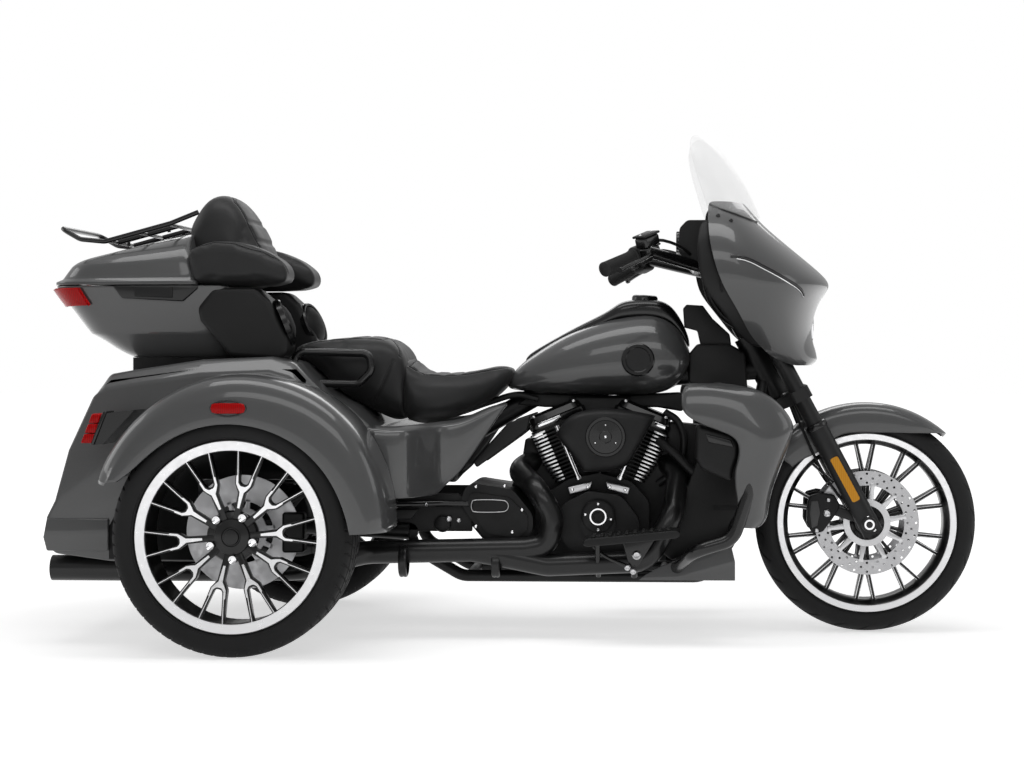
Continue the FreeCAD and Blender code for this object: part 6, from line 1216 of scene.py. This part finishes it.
face_out(settle(fairing))
LAMP, LAMP_RADIUS = (1574.0, 0, 898.0), 78.0
carve(fairing, lathe("cut", [(0, -90), (LAMP_RADIUS, -90), (LAMP_RADIUS, 90), (0, 90)], LAMP,
                     "black_trim", "steering", "x", 64))
even_normals(fairing, 40.0)
SLOT = [(1332, 1079), (1350, 1079), (1376, 1074), (1430, 1049), (1490, 1017), (1531, 991),
        (1541, 976)]
TRIM_LINE = [(1279, 1234), (1300, 1222), (1340, 1206), (1384, 1192), (1412, 1185)]
for side, word in SIDES:
    for name, line, lift, radius, material in (
            ("fairing_slot_", SLOT, -1.5, 5.0, "gloss_black"),
            ("fairing_slot_edge_", [(x - 1, z - 6) for x, z in SLOT[1:]], 0.3, 1.8, "chrome"),
            ("shield_trim_", TRIM_LINE, 0.5, 4.0, "wheel_black")):
        tube(name + word, [on_side(x, z, side, lift) for x, z in line], radius, material,
             "steering")
    for x, z in ((1336, 1182), (1300, 1196)):
        bolt("shield_bolt_" + word, on_side(x, z, side, 0.5), (0.2, side, 0.2), 6, "steering",
             "gloss_black")
lathe("headlamp_bezel", [(62, -4), (64, 4), (70, 8), (77, 6), (80, 0), (80, -26), (62, -26)],
      LAMP, "chrome", "steering", "x", closed=True)
lathe("headlamp_bowl", [(0, -40), (20, -38), (44, -28), (60, -10), (64, -4), (66, -6), (66, -44),
                        (0, -46)], LAMP, "bright_cast", "steering", "x", 72)
lathe("headlamp_glass", [(0, 12), (24, 10.5), (44, 6), (58, 0), (62, -4), (58, -5), (0, 7)],
      LAMP, "lamp_glass", "steering", "x", 72, node="headlamp")
for y in (-24, 24):
    lathe("headlamp_eye", [(0, 0), (12, -2), (18, -8), (19, -20), (0, -20)],
          (LAMP[0] - 12, y, LAMP[2]), "lamp_glass", "steering", "x", 40)

# Inner fairing behind the shell's edge, cables, and the cover of the frame's neck
EDGE_LEVELS = FAIRING_LEVELS[2:-3]
for side, word in SIDES:
    rings = []
    for i, (z, half, edge, nose, full) in enumerate(EDGE_LEVELS):
        reach = 20.0 + 34.0 * math.sin(math.pi * i / (len(EDGE_LEVELS) - 1))
        ring = bow(z, half - 18, edge - reach, nose - 60, full)[:6]
        rings.append([Vector((p.x, -side * p.y, p.z)) for p in ring])
    skin("inner_fairing_edge_" + word, rings, "black_trim", "steering", closed=False,
         rows=(0, len(rings) - 1), wall=(5.0, 0.0))
for ahead, out in ((0, 0), (24, 18)):
    tubes("neck_cable_", [(1262 + ahead, 150 + out, 1052), (1288 + ahead, 124 + out, 960),
                          (1350 + ahead * 0.6, 112 + out * 0.6, 896),
                          (1440, 106 + out * 0.3, 866)], 6.0, "black_trim", "steering")
prism("neck_cover", [(1219, 726), (1219, 806), (1246, 838), (1340, 838), (1385, 812),
                     (1392, 700), (1262, 700)], -50, 50, "black_trim", 8.0, 4)
prism("switch_box", [(1208, 886), (1204, 942), (1214, 953), (1262, 950), (1290, 912),
                     (1340, 866), (1345, 832), (1256, 832), (1246, 876)], -38, 38,
      "black_trim", 4.0)

# Dash
DASH_X = 1189.0
for y, z, r in ((-112, 1132, 22), (-46, 1134, 30), (46, 1134, 30), (112, 1132, 22)):
    lathe("gauge_ring", [(r - 3, 1), (r - 2, -4), (r + 1, -5), (r + 3, -2), (r + 3, 4),
                         (r - 3, 4)], (DASH_X, y, z), "gloss_black", "steering", "x", 48,
          closed=True)
    lathe("gauge_face", [(0, -1), (r - 3, -1), (r - 3, 3), (0, 3)], (DASH_X, y, z),
          "engine_grey", "steering", "x", 48)
    prism("gauge_hand", [(y - 1.2, z - 5), (y + 1.2, z - 5), (y + r * 0.35, z + r * 0.62)],
          DASH_X - 2.5, DASH_X - 1.2, "amber_lens", body="steering", plane="yz")
prism("dash_screen", [(1193, 1092), (1197, 1097), (1240, 1052), (1235, 1048)], -84, 84,
      "gloss_black", 2.0, 3, "steering")
for y in (-276, 276):
    lathe("dash_speaker", [(0, 0), (34, 2), (44, 0), (48, -5), (54, -6), (56, 0), (56, 6),
                           (0, 6)], (1292, y, 1060), "radiator", "steering", "x", 56)

# Discs and calipers
HOLE_RADIUS, HOLE_SIDES, HOLES = 3.6, 10, 24


def brake_disc(name, centre, inner, outer, y0, y1, hub, body, hole_rows=(), node=None):
    """A disc with rings of drilled holes, on a carrier with arms."""
    disc = lathe(name, [(inner, y0), (outer, y0), (outer, y1), (inner, y1)], centre,
                 "disc_steel", body, closed=True, node=node)
    verts, faces = [], []
    for row, radius in enumerate(hole_rows):
        for x, z in circle((centre[0], centre[2]), radius,
                           [360 / HOLES * (i + 0.5 * row) for i in range(HOLES)]):
            hole = circle((x, z), HOLE_RADIUS, [360 / HOLE_SIDES * k for k in range(HOLE_SIDES)])
            add_plate(verts, faces, [at(px, centre[1] + y, pz)
                                  for y in (min(y0, y1) - 3, max(y0, y1) + 3)
                                  for px, pz in hole], HOLE_SIDES)
    if hole_rows:
        carve(disc, face_out(piece("cut", verts, faces, "disc_steel", body)))
    even_normals(disc, 30.0)
    middle = (y0 + y1) / 2
    arm = [(hub, -9), (inner - 4, -6), (inner + 7, -9)]
    soften(wheel_parts(name + "_arms", (centre[0], centre[1] + middle - 3.5, centre[2]),
                       [arm + mirrored(arm)], lambda r: 0.0, "bright_cast", body, -7.0, 1, 9.0),
           1.5, 2)
    lathe(name + "_collar", [(hub - 12, middle - 5), (hub + 6, middle - 5),
                             (hub + 6, middle + 5), (hub - 12, middle + 5)], centre,
          "bright_cast", body, steps=64, closed=True)


DISC_HAT = [(46, 484), (52, 484), (54, 580), (46, 582)]
for side in (-1, 1):
    brake_disc("front_disc", FRONT_CENTRE, 108, 150, side * 68.0, side * 73.5, 62, "front_wheel",
               (116, 129, 142), "front_discs")
for side, word in SIDES:
    rear_centre, name = (0.0, 0.0, WHEEL_Z), "rear_disc_" + word
    brake_disc(name, rear_centre, 84, 156, side * 484.0, side * 491.0, 60, "rear_wheel_" + word,
               node=name)
    lathe("rear_disc_hat_" + word, outward(DISC_HAT, side), rear_centre, "bright_cast",
          "rear_wheel_" + word, steps=56, closed=True)
CALIPER_X, CALIPER_Z = 1572, 350
CALIPER = [(1562, 380), (1570, 400), (1600, 408), (1640, 402), (1656, 372), (1640, 342),
           (1606, 296), (1576, 290), (1560, 320)]
for part, low, high, share in (("outer", 78, 106, 1.0), ("inner", 52, 64, 0.92),
                               ("bridge", 62, 80, 0.5)):
    prisms("caliper_%s_" % part, [(lerp(CALIPER_X, x, share), lerp(CALIPER_Z, z, share))
                                  for x, z in CALIPER], low, high, "engine_black", 5.0, 4,
           "steering", node="front_calipers")
prisms("caliper_plate_", [(1572, 384), (1592, 386), (1598, 350), (1590, 314), (1574, 306),
                          (1568, 350)], 105, 109, "caliper_grey", 2.0, 3, "steering")
prisms("caliper_arm_", [(1640, 372), (1700, 352), (1728, 340), (1722, 318), (1690, 326),
                        (1630, 346)], 88, 100, "fork_black", 4.0, 3, "steering")
bolts("caliper_bolt_", ((1618, 106, 350, 11), (1622, 106, 388, 6), (1588, 106, 300, 6)),
      "steering")

# Pods of the lower fairings
prisms("leg_pod_", [(1237, 616), (1341, 590), (1358, 558), (1356, 526), (1340, 487),
                    (1337, 456), (1250, 492), (1236, 520)], 262, 376, "black_trim", 16.0, 5,
       node="lower_pods")
prisms("leg_vent_", [(1262, 590), (1334, 572), (1342, 552), (1272, 566)], 372, 380,
       "gloss_black", 3.0)

# Tail lamps: leaning segments on a stalk
TAIL_LOW, TAIL_PITCH, TAIL_GAP, TAIL_SEGMENTS = 567, 27.3, 1.6, 3
TAIL_LEAN = 32 / 82
for side, word in SIDES:
    for i in range(TAIL_SEGMENTS):
        low, high = TAIL_LOW + i * TAIL_PITCH, TAIL_LOW + (i + 1) * TAIL_PITCH - TAIL_GAP
        start, stop = (low - TAIL_LOW) * TAIL_LEAN, (high - TAIL_LOW) * TAIL_LEAN
        prism("tail_lamp_%s_%d" % (word, i), [(-437 + start, low), (-404 + start * 0.8, low),
                                              (-404 + stop * 0.8, high), (-437 + stop, high)],
              side * 471, side * 540, "red_lens", 4.0, 4, node="red_lamps")
prisms("tail_lamp_back_", [(-408, 562), (-398, 562), (-362, 654), (-374, 654)], 466, 545,
       "gloss_black", 3.0)

# Hinges of the luggage box
for x in (-392, -238):
    lathe("hinge_pin", [(0, -18), (4, -18), (6, -16), (6, 16), (4, 18), (0, 18)], (x, 312, 1008),
          "gloss_black", axis="x", steps=32)
    prism("hinge_leaf", [(x - 16, 996), (x + 16, 996), (x + 16, 984), (x + 12, 978),
                         (x - 12, 978), (x - 16, 984)], 298, 306, "gloss_black", 2.0)

# Stage
FLOOR_GLOW, FLOOR_NEAR, FLOOR_FAR, FLOOR_HALF = 0.60, 1.5, 4.5, 30.0
WORLD_LIGHT, WORLD_GLOSS = 0.16, 0.45
WHITE = (1.0, 1.0, 1.0, 1.0)


def seen_straight(tree):
    """An output that is 1 for camera rays and for rays that came by gloss or through glass."""
    path = add(tree, "LightPath")
    seen = path.outputs["Is Camera Ray"]
    for ray in ("Is Glossy Ray", "Is Transmission Ray"):
        most = add(tree, "Math")
        most.operation = "MAXIMUM"
        wire(seen, most.inputs[0])
        wire(path.outputs[ray], most.inputs[1])
        seen = most.outputs["Value"]
    return seen, path


def floor_paint():
    """A pale floor that keeps the shadow and shows as white to the camera and in gloss."""
    surface = shader("floor", (0.90, 0.90, 0.90), 0.9, Specular_IOR_Level=0.0,
                     Emission_Color=WHITE)
    tree = surface.id_data
    reach, glow = add(tree, "VectorMath"), add(tree, "Math")
    reach.operation, glow.operation = "LENGTH", "MULTIPLY"
    spread = add(tree, "MapRange", From_Min=FLOOR_NEAR, From_Max=FLOOR_FAR, To_Min=FLOOR_GLOW,
                 To_Max=1.0)
    wire(add(tree, "TexCoord").outputs["Object"], reach.inputs[0])
    wire(reach.outputs["Value"], spread.inputs["Value"])
    wire(seen_straight(tree)[0], glow.inputs[0])
    wire(spread.outputs["Result"], glow.inputs[1])
    wire(glow.outputs["Value"], surface.inputs["Emission Strength"])


def plain_world():
    """Soft light from all round, white where it is seen and dimmer in gloss."""
    world = bpy.context.scene.world = bpy.data.worlds.new("studio")
    world.use_nodes = True
    tree = world.node_tree
    tree.nodes.clear()
    soft = add(tree, "Background", Color=WHITE, Strength=WORLD_LIGHT)
    white = add(tree, "Background", Color=WHITE)
    dimmed = add(tree, "MapRange", To_Min=1.0, To_Max=WORLD_GLOSS)
    blend = add(tree, "MixShader")
    seen, path = seen_straight(tree)
    wire(path.outputs["Is Glossy Ray"], dimmed.inputs["Value"])
    wire(dimmed.outputs["Result"], white.inputs["Strength"])
    wire(seen, blend.inputs["Fac"])
    wire(soft.outputs["Background"], blend.inputs[1])
    wire(white.outputs["Background"], blend.inputs[2])
    wire(blend.outputs["Shader"], add(tree, "OutputWorld").inputs["Surface"])


def stand(name, data, spot):
    """An object of the stage at a place in metres."""
    obj = bpy.data.objects.new(name, data)
    bpy.context.scene.collection.objects.link(obj)
    obj.location = spot
    return obj


floor_paint()
plain_world()
floor_mesh = bpy.data.meshes.new("floor")
floor_mesh.from_pydata([(FLOOR_HALF * x, FLOOR_HALF * y, 0)
                        for x, y in ((-1, -1), (1, -1), (1, 1), (-1, 1))], [], [(0, 1, 2, 3)])
floor_mesh.materials.append(MATERIALS["floor"])
stand("floor", floor_mesh, (0.0, 0.0, 0.0))
for name, spot, target, size, size_y, power in (
        ("top_softbox", (0.0, -0.6, 4.2), (0.0, 0.0, 0.6), 4.6, 1.6, 64.0),
        ("right_softbox", (0.3, -4.6, 3.2), (0.0, 0.0, 0.6), 4.5, 1.4, 36.0),
        ("left_softbox", (-0.3, 4.6, 3.0), (0.0, 0.0, 0.6), 4.5, 1.4, 30.0),
        ("front_softbox", (4.8, -0.5, 2.4), (0.4, 0.0, 0.7), 2.0, 2.0, 14.0),
        ("rear_softbox", (-4.8, 0.5, 2.4), (-0.4, 0.0, 0.6), 2.0, 2.0, 20.0)):
    light = bpy.data.lights.new(name, "AREA")
    light.shape = "RECTANGLE"
    light.size, light.size_y, light.energy = size, size_y, power
    aim = (Vector(target) - Vector(spot)).to_track_quat("-Z", "Y").to_euler()
    stand(name, light, spot).rotation_euler = aim

# Camera at the photograph's angle
PHOTO_WIDTH, PHOTO_HEIGHT = 1024.0, 768.0
FOCAL_PIXELS = 2067.7
AXIS_PIXEL = (568.1, 347.35)
CAMERA_YAW = 0.0488
CAMERA_SPOT = (1163.1, -6093.6, 827.8)
camera_data = bpy.data.cameras.new("camera")
camera_data.lens = FOCAL_PIXELS / PHOTO_WIDTH * camera_data.sensor_width
camera_data.shift_x = (PHOTO_WIDTH / 2 - AXIS_PIXEL[0]) / PHOTO_WIDTH
camera_data.shift_y = (AXIS_PIXEL[1] - PHOTO_HEIGHT / 2) / PHOTO_WIDTH
camera = stand("camera", camera_data, at(*CAMERA_SPOT))
camera.rotation_euler = (math.radians(90.0), 0.0, CAMERA_YAW)
bpy.context.scene.camera = camera
bpy.context.scene.view_settings.view_transform = "Standard"
